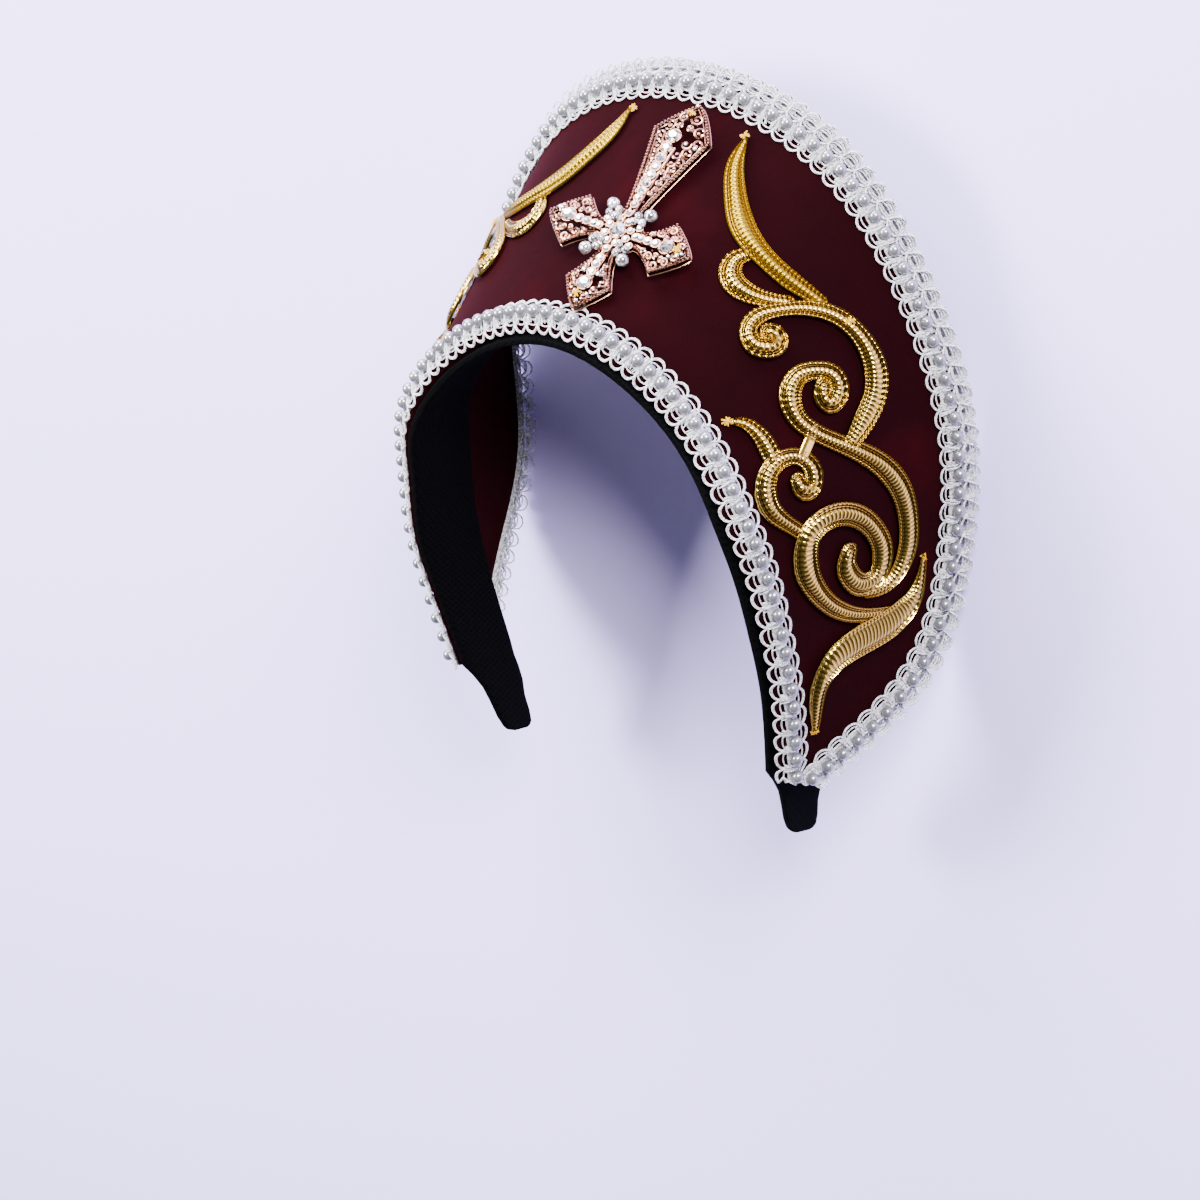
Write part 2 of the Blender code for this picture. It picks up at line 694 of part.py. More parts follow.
def main():
    clear_scene()
    velvet = make_material("velvet", (0.055, 0.004, 0.009), 0.75)
    black_cloth = make_material("black_cloth", (0.006, 0.007, 0.008), 0.8)
    white_thread = make_material("white_thread", (0.75, 0.75, 0.78), 0.6)
    pearl = make_material("pearl", (0.82, 0.82, 0.84), 0.2)
    gilt = make_material("gilt", (0.68, 0.43, 0.13), 0.28, 1.0)
    rose_gold = make_material("rose_gold", (0.62, 0.36, 0.27), 0.25, 1.0)
    parts = [
        build_crescent(velvet),
        build_headband(black_cloth),
        build_inner_lace(white_thread),
        build_outer_lace(white_thread),
        build_rim_lace(white_thread),
        build_pearls("inner_pearls", inner_pearl_line, pearl),
        build_pearls("outer_pearls", outer_pearl_line, pearl),
        build_pearls("rim_pearls", rim_pearl_line, pearl),
        *build_appliques(gilt),
        build_brooch(rose_gold),
    ]
    lay_down(parts)


if __name__ == "__main__":
    main()
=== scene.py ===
import math
import random

import bmesh
import bpy
import numpy as np
from bpy.props import FloatProperty, FloatVectorProperty, IntProperty, PointerProperty
from mathutils import Euler, Matrix, Vector


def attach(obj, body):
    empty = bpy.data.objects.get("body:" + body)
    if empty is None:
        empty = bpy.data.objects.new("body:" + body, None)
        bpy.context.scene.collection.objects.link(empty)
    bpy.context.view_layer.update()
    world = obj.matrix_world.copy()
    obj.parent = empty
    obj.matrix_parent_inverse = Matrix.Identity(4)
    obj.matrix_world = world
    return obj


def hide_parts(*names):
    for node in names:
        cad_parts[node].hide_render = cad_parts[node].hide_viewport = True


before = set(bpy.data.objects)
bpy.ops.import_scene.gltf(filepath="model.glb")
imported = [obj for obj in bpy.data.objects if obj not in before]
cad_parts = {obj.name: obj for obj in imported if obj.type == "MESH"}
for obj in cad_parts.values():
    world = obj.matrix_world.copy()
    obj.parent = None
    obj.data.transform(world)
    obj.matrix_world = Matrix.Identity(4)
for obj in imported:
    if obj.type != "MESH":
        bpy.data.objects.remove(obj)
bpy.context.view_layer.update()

bl_info = {
    "name": "French hood",
    "version": (1, 0, 0),
    "blender": (4, 5, 0),
    "location": "3D View > Sidebar > French hood",
    "description": "Velvet hood with pearl gimp, gilt scrolls and a cross brooch",
    "category": "Add Mesh",
}

MM = 0.001

# The hood is shaped as it is worn: x to the wearer's left, -y to the front, +z up, in
# millimetres. The resting pose turns it onto its flat back rim and centres it.
RIM_PLANE_SLOPE = 0.09
REST_ROTATION = np.array(Matrix.Rotation(math.atan(RIM_PLANE_SLOPE) - math.pi / 2, 3, "X"))
REST_SHIFT = np.array((0.0, -92.7458, 67.377))

# Edge stations from the crown to a tip: inner edge (x, y, z), rim (x, y, z)
# The y of the first rim rows is left None, because there the rim lies in one plane.
EDGES = [
    ((0, -28, 152), (0, None, 210)),
    ((41, -25.5, 134), (50, None, 193)),
    ((62, -25, 106), (79, None, 151)),
    ((68, -19, 82), (92, None, 106)),
    ((71, -13, 57), (90, 67, 56)),
    ((70, -5, 31), (86, 50, 22)),
    ((66, 4, 0), (69, 15, -4)),
]
RIM_PLANE_Y = 56.0
RIM_PLANE_STATIONS = 4
RIM_PLANE_FADE = 0.08
CROWN_Z = 210.0
SHELL_THICKNESS = 2.6
SHELL_BULGE = 1.0
EDGE_ROUND = 0.7
GAP = 0.35
SMALL_STEP = 0.001
SHELL_ROWS = 240
SHELL_COLUMNS = 14

BAND_WIDTH = 30.0
BAND_AHEAD = 3.0
BAND_THICKNESS = 2.4
BAND_ROWS = 90
# How far the band leans away from the crescent, in degrees, from the crown to a tip
BAND_LEAN = [30.0, 26.0, 20.0, 16.0, 14.0, 13.0, 12.0]
# Band ends below the tip: drop along the edge's own direction, shift to the rear, width
BAND_END = [
    (5, 3.6, 26.6), (11, 6.6, 23.0), (18, 7.8, 19.6), (25, 8.6, 18.2), (29.5, 10.0, 15.6),
    (31.2, 11.4, 12.4), (31.8, 13.4, 8.6),
]

LACE_HALF_WIDTH = 6.3
LACE_THICKNESS = 0.65
PEARL_INSET = 4.5
TUBE_RADIUS = 2.1
RIM_PEARL_HEIGHT = -1.3
# Pearl pitch from the crown to a tip: share of the way, share of the pitch
INNER_PITCH = [
    (0.0, 0.76), (0.15, 0.78), (0.3, 0.88), (0.45, 1.0), (0.58, 1.13), (0.8, 1.25), (1.0, 1.3),
]
OUTER_PITCH = [
    (0.0, 0.84), (0.1, 0.85), (0.2, 0.92), (0.35, 1.0), (0.5, 1.06), (0.65, 1.1), (1.0, 1.03),
]
# Where the gimp bends over an edge: flat from and to, sideways, and radius of the bend
EDGE_BEND = (-3.7, math.inf, 1.6)
RIM_BEND = (0.0, 0.0, 4.2)
# Least share of its width to which the gimp narrows where both strips meet at a tip
TIP_SHARE = 0.45
LINE_SAMPLES = 1601

# Looped cords: near and far distance from the pearls, bulge of the loop, height, radius
SCALLOPS = [
    (3.4, 5.85, 1.0, 0.5, 0.33),
    (3.25, 5.5, 1.0, 0.45, 0.26),
    (2.6, 3.75, 0.85, 0.4, 0.24),
    (1.7, 1.9, 0.0, 0.6, 0.35),
]
SCALLOP_STEPS = 12
SCALLOP_RISE = 0.4
# Threads woven across the strip between two pearls
KNOT_THREADS = 16
KNOT_HALF = (2.4, 3.9)
KNOT_SPREAD = 1.15
KNOT_HEIGHT = 0.6
KNOT_CROWN = (0.9, 2.2)
KNOT_RADIUS = (0.13, 0.24)
KNOT_REACH = np.linspace(-1, 1, 6)
# Net over a rim pearl: start and end of each thread across the strip, share of the height
# of the pearl, radius
OVER_PEARL = [
    (-2.8, 2.8, 1.0, 0.28), (2.8, -2.8, 1.0, 0.28), (-1.4, 2.3, 1.0, 0.24), (1.4, -2.3, 1.0, 0.24),
    (-2.3, 0.3, 1.0, 0.26), (2.3, -0.3, 1.0, 0.26), (-0.5, 1.6, 1.0, 0.22), (0.5, -1.6, 1.0, 0.22),
    (-1.9, -0.8, 1.0, 0.3), (1.9, 0.8, 1.0, 0.3), (2.2, 2.6, 0.9, 0.26), (2.7, 2.3, 0.7, 0.26),
    (2.4, 2.7, 0.5, 0.28), (2.7, 2.5, 0.3, 0.28), (-2.4, -2.6, 0.7, 0.28), (3.4, 3.0, 1.0, 0.3),
    (-3.4, -3.0, 1.0, 0.3),
]
NET_FOOT = 1.0
NET_HEIGHT = 2.05
NET_REACH = np.linspace(-1, 1, 7)
TAPE_HALF_WIDTH = 1.8
TAPE_HEIGHT = 0.8
TAPE_STEP = 1.6
TAPE_SIDES = 8
# Angles in degrees over which an edge is drawn sharp
CREASE = 40.0
GILT_CREASE = 65.0
THREAD_CREASE = 80.0

# Gilt scrolls of the left side: along (percent, crown to tip), across (percent, inner
# edge to rim), width (millimetres); one row at each bend
SCROLLS = {
    "top_leaf": [
        (7, 84.5, 1.5), (7.5, 76, 5.5), (9.5, 66, 7.5), (12, 59.5, 8.5), (15.5, 57.5, 7),
        (19, 59, 6.5), (23.5, 64, 4),
    ],
    "loop_leaf": [
        (14.5, 56.5, 3), (13, 50, 6.5), (13.5, 45.5, 8), (14.5, 44.5, 8), (16.5, 46, 6.5),
        (18.5, 49.5, 5), (20.5, 54.5, 4),
    ],
    "crest": [
        (20.6, 42.5, 5.5), (21.4, 43.8, 7), (22.2, 43, 7.5), (21.5, 39, 7.4), (20, 36.3, 7.2),
        (18.6, 37.5, 6), (18.6, 43, 5.5), (20, 49.5, 4.5), (22, 56.5, 5), (26.5, 67, 6),
        (31.5, 71.5, 7.5), (34.5, 71, 9), (36.8, 67, 8.8), (38.3, 60, 8.5), (39.5, 53, 6),
    ],
    "vine": [
        (30.6, 50.6, 6.4), (31.4, 49.4, 7.4), (32.8, 50.8, 7.6), (32.8, 55, 7.4), (30.8, 56, 6.8),
        (28.5, 51, 6), (27, 43, 7), (28, 38, 8), (30.5, 37, 7), (33.5, 40, 6),
        (38.5, 48.5, 6), (44, 59, 7.5), (50.5, 68, 8.5), (56.5, 71, 8.5), (61, 68.5, 8.5),
        (63.5, 60, 5.5), (63.5, 50, 3),
    ],
    "side_leaf": [
        (23.5, 14.5, 1.5), (25, 18.5, 3.5), (28, 22, 5.5), (30.5, 23, 7), (32.5, 23, 6.5),
    ],
    "hook": [
        (38.2, 28.5, 5.6), (39.6, 29, 7.2), (40.8, 32, 7.6), (39.5, 35, 7.2), (37, 34.5, 6),
        (35, 31.5, 5.5), (33.5, 26, 6), (33.5, 20, 7), (35, 16.5, 8), (38.5, 15.5, 7.5),
        (43, 19, 5.5), (47, 24, 5),
    ],
    "bridge": [(34, 41, 4), (35.8, 33.5, 4)],
    "volute": [
        (55, 41.5, 7), (56.5, 40, 8), (59.5, 42, 8.2), (61.5, 48, 8.4), (61.3, 54, 8.8),
        (58.5, 57.5, 9), (55, 55.5, 8), (50.5, 48, 8), (47.5, 36.5, 8.5), (48, 27, 9.5),
        (52.5, 22.5, 10), (58.5, 25, 8), (64, 35, 6.5), (67, 49.5, 5), (68, 62, 4),
    ],
    "low_leaf": [
        (62, 79, 2.5), (65, 78, 5.5), (67.5, 75, 9.5), (70, 64, 12), (71.5, 46, 12),
        (74, 32.5, 11), (78, 26, 8), (83.5, 25.5, 5.5), (88.5, 30, 2.5),
    ],
}
# Order in which the ribbons lie over one another, lowest first
SCROLL_ORDER = [
    "bridge", "loop_leaf", "side_leaf", "hook", "vine", "volute", "top_leaf", "crest", "low_leaf",
]
PLAIN_SCROLLS = ("bridge",)
DULL_SCROLLS = ("top_leaf",)
SCROLL_LAYER = 0.12
SCROLL_TURN_SHARE = 0.85
SCROLL_SMOOTHING = 4
SCROLL_CAP_STEP = 0.3
# Stations in each bead of the edge and each rib of the crown
BEAD_STATIONS = 5
# Ribbon border: distance from the edge, height, bead height, share of the relief shade, which is
# painted shade: low in the grooves, high on the crests
BORDER = [
    (0.0, 0.0, 0.0, 0.0), (0.0, 0.55, 0.0, 0.45), (0.2, 0.95, 0.0, 1.0), (0.42, 0.6, 0.0, 0.1),
    (0.6, 0.62, 0.22, 0.5), (0.88, 0.66, 0.56, 0.9), (1.16, 0.6, 0.22, 0.4),
    (1.32, 0.48, 0.0, 0.0), (1.52, 0.7, 0.14, 0.5), (1.74, 0.78, 0.3, 0.8), (1.96, 0.62, 0.1, 0.1),
]
BORDER_WIDTH = 2.1
# Half width below which the whole border is drawn narrower
FULL_BORDER_FROM = 3.6
# Crown of a ribbon: share of the way to the spine, share of its height
CROWN = [(0.0, 0.0), (0.22, 0.6), (0.48, 0.87), (0.75, 0.97), (1.0, 1.0)]
CROWN_FOOT = 0.7
CROWN_RISE = 1.5
# Half width of the crown below which it is drawn lower
FULL_CROWN_FROM = 1.6
RIB_DEPTH = 0.42
# Painted shade: share of the relief colour that a bead gains, that the crown's foot has, that a rib
# takes
BEAD_SHADE = 0.55
FOOT_SHADE = 0.25
RIB_SHADE = 0.75
# Plain ribbon: distance from the edge, height
PLAIN_SECTION = [(0.0, 0.77), (0.35, 1.1)]

# Cross brooch: its place, the heights of its frame and the rise of its domed filigree
BROOCH_X = 3.2
BROOCH_FROM_EDGE = 37.5
BROOCH_BASE = 1.1
BROOCH_TOP = 3.2
DOME_RISE = 1.5
DOME_HALF = 7.0
# Arm: bearing in degrees, tip, corner distance, half width there, waist distance,
# half width there, power of the flare between them
ARMS = [
    (0, 26.5, 16.5, 9.6, 6.5, 3.0, 1.8),
    (90, 51.8, 39.6, 10.5, 9.0, 3.0, 1.15),
    (180, 26.5, 16.5, 9.6, 6.5, 3.0, 1.8),
    (270, 29.0, 19.4, 8.2, 7.5, 3.0, 1.4),
]
ARM_STEPS = 14
ARM_END_POWER = 1.32
# Filigree curls: arms, distance out, offset to each side, radius, first bearing, sweep
CURLS = [
    ((1,), 46.2, 2.5, 2.0, 250, -430), ((1,), 42.3, 5.6, 2.1, 160, 420),
    ((1,), 38.0, 6.7, 2.1, 200, -400), ((1,), 34.0, 5.6, 2.0, 150, 420),
    ((1,), 30.2, 4.9, 1.8, 220, -400), ((1,), 26.7, 4.2, 1.6, 150, 400),
    ((1,), 23.6, 3.6, 1.4, 220, -380), ((1,), 20.8, 3.1, 1.2, 150, 380),
    ((1,), 18.4, 2.8, 1.0, 220, -360), ((1,), 16.3, 2.5, 0.9, 150, 360),
    ((1,), 42.6, 2.0, 1.3, 90, 400),
    ((0, 2), 22.8, 2.1, 1.6, 250, -420), ((0, 2), 20.0, 4.7, 1.6, 160, 420),
    ((0, 2), 16.7, 6.6, 1.8, 200, -400), ((0, 2), 14.0, 4.4, 1.5, 160, 380),
    ((0, 2), 11.4, 3.0, 1.0, 220, -360), ((0, 2), 16.4, 3.5, 1.0, 90, 360),
    ((1,), 36.6, 3.5, 1.9, 60, 300), ((1,), 32.2, 3.2, 1.6, 240, -300),
    ((1,), 28.4, 2.7, 1.3, 60, 300), ((1,), 25.0, 2.3, 1.1, 240, -300),
    ((0, 2), 18.6, 3.9, 1.1, 60, 300),
    ((3,), 24.9, 2.0, 1.6, 250, -420), ((3,), 21.8, 4.1, 1.6, 160, 420),
    ((3,), 18.4, 5.0, 1.7, 200, -400), ((3,), 15.2, 3.4, 1.4, 160, 380),
    ((3,), 12.8, 2.7, 1.0, 220, -360),
]
CURL_TIGHTEN = 0.28
CURL_STEPS = 22
CURL_RADIUS = 0.42
CURL_DROP = 0.35
CURL_END = 1.6
# Standing rim of the cross: distance in from the outline, drop below its top
WALL_TOP = BROOCH_TOP - 0.25
WALL_SECTION = [(0.0, 0.1), (0.15, 0.0), (0.7, 0.0), (0.8, 0.1)]
# Painted shade: relief colour of the standing rim, and of the wires and grains between it and the
# beads, darker than the beads
WALL_RELIEF_SHADE = 0.1
WIRE_RELIEF_SHADE = 0.55
# Bars under the rows of stones: share of the arm, offset to each side, drop, radius
RAIL_SHARE, RAIL_SIDE, RAIL_DROP, RAIL_RADIUS = 0.66, 0.8, 0.7, 0.45
# Wires along the rim: distance in from the outline, height, radius
RIM_WIRES = [(1.4, BROOCH_TOP - 0.4, 0.22), (-0.15, BROOCH_BASE, 0.25)]
# Stones: bearing in degrees, distance out, radius
STONES = [
    (0, 0.0, 2.7), (92.6, 38.0, 2.5), (180, 18.7, 2.45), (270, 20.6, 2.45), (0, 18.6, 2.45),
    (92.6, 33.2, 1.85), (92.6, 29.2, 1.7), (92.4, 25.6, 1.6), (92.2, 22.2, 1.5), (91.8, 19.0, 1.45),
    (91.4, 16.0, 1.4), (91, 13.2, 1.35), (90, 10.6, 1.2), (180, 14.6, 1.4), (180, 11.6, 1.3),
    (180, 8.9, 1.25), (0, 14.5, 1.4), (0, 11.5, 1.3), (0, 8.9, 1.25), (270, 16.2, 1.4),
    (270, 13.3, 1.3), (270, 10.7, 1.25),
]
# Rings of small stones round the middle: distance out, count, first bearing, radius
STONE_RINGS = [(4.3, 8, 22.5, 1.15), (7.0, 12, 0.0, 1.15)]
# Small stones and grains strewn over the filigree: count, least radius, greatest radius
CHIPS = (26, 0.5, 0.8)
GRAINS = (130, 0.3, 0.5)
STREWN_MARGIN = 1.5
STONE_SIDES = 8
STONE_RISE = 0.62
STONE_TABLE = 0.5
STONE_TILT = 0.22
STONE_POINT = 0.3
STONE_DEPTH = 0.8
SETTING_GAP, SETTING_RADIUS = 0.05, 0.17
# Claws: least radius of a stone that has them, share of that radius, height, their radius
CLAWS_FROM, CLAW_SHARE, CLAW_HEIGHT, CLAW_RADIUS = 1.8, 0.93, 0.6, 0.4
CLAW_BEARINGS = (45, 135, 225, 315)
# Beads towards each corner: distance out, offset to the side, radius, height of the centre
CORNER_BEADS = [
    (11.3, 0.0, 2.15, 4.0), (8.0, 1.6, 1.35, 4.7), (8.0, -1.6, 1.35, 4.7), (5.6, 0.0, 1.25, 5.4),
]
CORNER_BEARINGS = (51.3, 128.7, 231.3, 308.7)
BORDER_BEAD_RADIUS = 0.5
BORDER_BEAD_STEP = 1.2
BORDER_BEAD_INSET = 0.3
BORDER_BEAD_DROP = 0.05
BROOCH_TACKS = [(-0.4, 47.4), (22.4, 0.4), (-0.2, -24.9)]

# Thread tacks that hold the scrolls: along, across (percent), height
SCROLL_TACKS = [
    (6.7, 85.4, 0.8), (23.4, 14.4, 0.8), (62.0, 79.6, 0.9), (89.4, 31.6, 0.8), (27.5, 69.0, 2.3),
]
TACK_THREADS = 7
TACK_LENGTH = 4.0
TACK_SHARE = (0.55, 1.0)
TACK_LIFT = (0.2, 0.7)
TACK_REACH = np.linspace(-1, 1, 6)[:, None]

# Camera over the worn hood: bearing and height in degrees, distance, aim, lens
CAMERA_BEARING = 35.9
CAMERA_HEIGHT = 27.4
CAMERA_DISTANCE = 1300.0
CAMERA_AIM = (0.0, 25.0, 110.0)
CAMERA_AIM_RIGHT = -17.5
CAMERA_AIM_UP = -65.4
PIXELS_PER_MM = 3.08
IMAGE_PIXELS = 1200
SENSOR_MM = 36.0
FLOOR_HALF = 6.0
WORLD_COLOUR, WORLD_STRENGTH = "#e4e3f8", 0.3
# Soft lights: name, place to the right, up and back in the view, size (metres), share of
# the key light's power, colour
LIGHTS = [
    ("key_soft_box", (0.2, 0.5, 1.5), 0.65, 1.0, "#fffefa"),
    ("top_soft_box", (-0.55, 1.15, 0.4), 1.0, 0.85, "#ffffff"),
    ("left_soft_box", (-1.1, 0.2, 0.35), 0.5, 0.45, "#ffffff"),
    ("right_soft_box", (1.1, 0.15, 0.4), 0.4, 0.4, "#f3f2ff"),
]


def linear_rgb(code):
    """Linear colour of an sRGB hex value."""
    values = [int(code[i:i + 2], 16) / 255 for i in (1, 3, 5)]
    return tuple(v / 12.92 if v <= 0.04045 else ((v + 0.055) / 1.055) ** 2.4 for v in values)


def colour_property(name, description, code):
    return FloatVectorProperty(
        name=name, description=description, subtype="COLOR", size=3, min=0, max=1,
        default=linear_rgb(code),
    )


def length_property(name, description, millimetres):
    return FloatProperty(
        name=name, description=description, subtype="DISTANCE", unit="LENGTH",
        default=millimetres * MM, min=0.0, precision=5,
    )


class HoodSizes(bpy.types.PropertyGroup):
    pearl_radius: length_property("Pearl radius", "Radius of each sewn pearl", 2.1)
    pearl_pitch: length_property("Pearl pitch", "Usual distance between two pearls", 6.3)
    bead_pitch: length_property("Bead pitch", "Distance between the beads of a gilt edge", 1.5)
    curl_wire: length_property("Filigree wire", "Radius of the brooch's curled wire", CURL_RADIUS)
    tack_thread: length_property("Tack thread", "Radius of the thread of a tack", 0.26)
    key_power: FloatProperty(
        name="Key light", description="Power of the main soft light", subtype="POWER",
        default=112.0, min=0.0,
    )
    seed: IntProperty(name="Seed", description="Seed of the small irregularities", default=7)


class HoodColours(bpy.types.PropertyGroup):
    velvet: colour_property("Velvet", "Depth of the velvet's pile", "#110002")
    velvet_light: colour_property("Velvet, brushed", "Where the pile is brushed over", "#1f0103")
    cloth: colour_property("Band cloth", "Cloth of the band under the hood", "#030304")
    thread: colour_property("White thread", "Cords and threads of the gimp", "#cfcdd7")
    pearl: colour_property("Pearl", "Body of a pearl", "#56565d")
    gilt: colour_property("Gilt", "Raised metal of the scrolls", "#ebc558")
    # Painted shade: the colour of the gilt low in the grooves of the scrolls
    gilt_groove_shade: colour_property("Gilt, deep", "Metal in the grooves of the scrolls", "#2b2004")
    gilt_dull: colour_property("Gilt, dull", "Metal of the matt leaves", "#9a7c1c")
    rose: colour_property("Rose gold", "Raised metal of the brooch", "#d8a184")
    # Painted shade: the colour of the rose gold low in the filigree and on the standing rim
    rose_groove_shade: colour_property("Rose gold, deep", "Metal low in the filigree", "#1c0a05")
    crystal: colour_property("Crystal", "Backed cut stones", "#eef1f6")
    bead: colour_property("Grey bead", "Round beads of the brooch", "#b9b5ba")
    tack: colour_property("Tack thread", "Thread that holds the metal", "#c09000")
    floor: colour_property("Floor", "Floor of the stage", "#cdc0ff")


def unit(vectors):
    return vectors / np.linalg.norm(vectors, axis=-1, keepdims=True)


def spline(knots, values):
    """Natural cubic spline through the values, returned as a function of the knots' axis."""
    k = np.asarray(knots, float)
    v = np.asarray(values, float)
    count = len(k)
    step = np.diff(k)
    system = np.eye(count)
    right = np.zeros_like(v)
    for i in range(1, count - 1):
        system[i, i - 1:i + 2] = step[i - 1], 2 * (step[i - 1] + step[i]), step[i]
        right[i] = 6 * ((v[i + 1] - v[i]) / step[i] - (v[i] - v[i - 1]) / step[i - 1])
    bend = np.linalg.solve(system, right)

    def at(places):
        places = np.atleast_1d(np.asarray(places, float))
        i = np.clip(np.searchsorted(k, places) - 1, 0, count - 2)
        s = (places - k[i])[:, None]
        w = step[i][:, None]
        slope = (v[i + 1] - v[i]) / w - w * (2 * bend[i] + bend[i + 1]) / 6
        return v[i] + s * (slope + s * (bend[i] / 2 + s * (bend[i + 1] - bend[i]) / (6 * w)))

    return at


def edge_curve(column):
    """Inner edge (0) or rim (1) from tip to tip, as a function of -1 to 1."""
    half = []
    for row in EDGES:
        x, y, z = row[column]
        if y is None:
            y = RIM_PLANE_Y + RIM_PLANE_SLOPE * (CROWN_Z - z)
        half.append(np.array((x, y, z), float))
    mirrored = [point * (-1, 1, 1) for point in half[:0:-1]]
    return spline(np.linspace(-1, 1, 2 * len(EDGES) - 1), mirrored + half)


inner_edge = edge_curve(0)
rim_edge = edge_curve(1)


def between_edges(along, across):
    """Point on the straight line from the inner edge to the rim."""
    return inner_edge(along) * (1 - across)[:, None] + rim_edge(along) * across[:, None]


def face_frame(along, across=0.0):
    """Point on the inner edge, unit vector to the rim, width and outward normal."""
    along = np.atleast_1d(np.asarray(along, float))
    across = np.broadcast_to(np.asarray(across, float), along.shape)
    reach = rim_edge(along) - inner_edge(along)
    step = between_edges(along + SMALL_STEP, across) - between_edges(along - SMALL_STEP, across)
    normal = unit(np.cross(step, reach))
    width = np.linalg.norm(reach, axis=-1)
    return inner_edge(along), reach / width[:, None], width, normal


def face(along, across, height=0.0):
    """Point over the velvet face: along -1 to 1, across 0 to 1, height in millimetres."""
    start, outward, width, normal = face_frame(along, across)
    across = np.broadcast_to(np.asarray(across, float), width.shape)
    swell = height + SHELL_BULGE * 4 * across * (1 - across)
    return start + outward * (across * width)[:, None] + normal * np.reshape(swell, (-1, 1))


def face_at(along, distance, height):
    """The same, with the distance from the inner edge in millimetres."""
    width = face_frame(along)[2]
    return face(along, distance / width, height)


def to_world(points):
    """From the worn pose, in millimetres, to the resting pose, in metres."""
    return (np.asarray(points, float) @ REST_ROTATION.T + REST_SHIFT) * MM


def length_along(points):
    """Distance from the first point to each point of a path."""
    return np.append(0, np.cumsum(np.linalg.norm(np.diff(points, axis=0), axis=1)))


def sample(length, values, places):
    """Values of a path's points, read at distances along it."""
    return np.stack([np.interp(places, length, column) for column in values.T], axis=-1)


def grid_mesh(grid, layers=None):
    """Bmesh sheet over a grid of points (rows, columns, 3), with values for each point."""
    rows, columns = grid.shape[:2]
    bm = bmesh.new()
    bmesh.ops.create_grid(bm, x_segments=columns - 1, y_segments=rows - 1, size=0.5)
    written = {name: bm.verts.layers.float.new(name) for name in layers or {}}
    for vert in bm.verts:
        column = round((vert.co.x + 0.5) * (columns - 1))
        row = round((vert.co.y + 0.5) * (rows - 1))
        vert.co = grid[row, column]
        for name, layer in written.items():
            vert[layer] = layers[name][row, column]
    return bm


def close_up(bm, weld=0.002):
    """Weld the seams, fill the open ends and turn the faces outwards."""
    bmesh.ops.remove_doubles(bm, verts=bm.verts, dist=weld)
    bmesh.ops.holes_fill(bm, edges=[edge for edge in bm.edges if edge.is_boundary])
    bmesh.ops.recalc_face_normals(bm, faces=bm.faces)
    if bm.calc_volume(signed=True) < 0:
        bmesh.ops.reverse_faces(bm, faces=bm.faces)


def cords(bm, paths, radius, resolution=1):
    """Add a round cord along each path to the bmesh."""
    curve = bpy.data.curves.new("cord", "CURVE")
    curve.dimensions = "3D"
    curve.bevel_depth = radius
    curve.bevel_resolution = resolution
    curve.use_fill_caps = True
    for path in paths:
        line = curve.splines.new("POLY")
        line.points.add(len(path) - 1)
        line.points.foreach_set("co", np.column_stack([path, np.ones(len(path))]).ravel())
    holder = bpy.data.objects.new("cord", curve)
    mesh = bpy.data.meshes.new_from_object(holder)
    bm.from_mesh(mesh)
    bpy.data.meshes.remove(mesh)
    bpy.data.objects.remove(holder)
    bpy.data.curves.remove(curve)


def balls(bm, places, radius, sides=12, rings=8):
    """Add a ball at each place to the bmesh."""
    part = bmesh.new()
    bmesh.ops.create_uvsphere(part, u_segments=sides, v_segments=rings, radius=radius)
    mesh = bpy.data.meshes.new("ball")
    part.to_mesh(mesh)
    part.free()
    for place in places:
        mesh.transform(Matrix.Translation(Vector(place)))
        bm.from_mesh(mesh)
        mesh.transform(Matrix.Translation(-Vector(place)))
    bpy.data.meshes.remove(mesh)


def join_bmesh(bm, part):
    """Add a closed part to the bmesh, with its values."""
    mesh = bpy.data.meshes.new("part")
    part.to_mesh(mesh)
    part.free()
    bm.from_mesh(mesh)
    bpy.data.meshes.remove(mesh)


def add_piece(name, bm, material, slot, *nodes, flat=False, crease=CREASE, on_floor=False):
    """Turn a bmesh in worn millimetres into a finished piece of the hood."""
    mesh = bpy.data.meshes.new(name)
    bm.to_mesh(mesh)
    bm.free()
    points = np.empty(len(mesh.vertices) * 3)
    mesh.vertices.foreach_get("co", points)
    points = to_world(points.reshape(-1, 3))
    if on_floor:
        points[:, 2] = np.maximum(points[:, 2], 0.0)
    mesh.vertices.foreach_set("co", points.ravel())
    mesh.materials.append(material)
    if not flat:
        mesh.shade_smooth()
        mesh.set_sharp_from_angle(angle=math.radians(crease))
    mesh.update()
    piece = bpy.data.objects.new(name, mesh)
    bpy.context.scene.collection.objects.link(piece)
    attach(piece, "root")
    if nodes:
        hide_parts(*nodes)


def add_node(tree, kind, inputs=None, **settings):
    """Add a shader node, with its settings, and its inputs linked or set."""
    made = tree.nodes.new(kind)
    for key, value in settings.items():
        setattr(made, key, value)
    for key, value in (inputs or {}).items():
        if isinstance(value, bpy.types.NodeSocket):
            tree.links.new(value, made.inputs[key])
        else:
            made.inputs[key].default_value = value
    return made


def new_material(name, **sockets):
    """Material with plain values on its shader's sockets; returns it with its parts."""
    material = bpy.data.materials.new(name)
    material.use_nodes = True
    tree = material.node_tree
    shader = tree.nodes["Principled BSDF"]
    for key, value in sockets.items():
        socket = shader.inputs[key.replace("_", " ").title().replace("Ior", "IOR")]
        socket.default_value = (*value, 1.0) if socket.type == "RGBA" else value
    coordinates = add_node(tree, "ShaderNodeTexCoord").outputs["Object"]
    return material, tree, shader, coordinates


def noise(tree, coordinates, size_mm, detail=2.0, roughness=0.5):
    """Noise whose lumps are about the given size."""
    made = add_node(tree, "ShaderNodeTexNoise", {
        "Vector": coordinates, "Scale": 1000.0 / size_mm, "Detail": detail, "Roughness": roughness,
    })
    return made.outputs["Fac"]


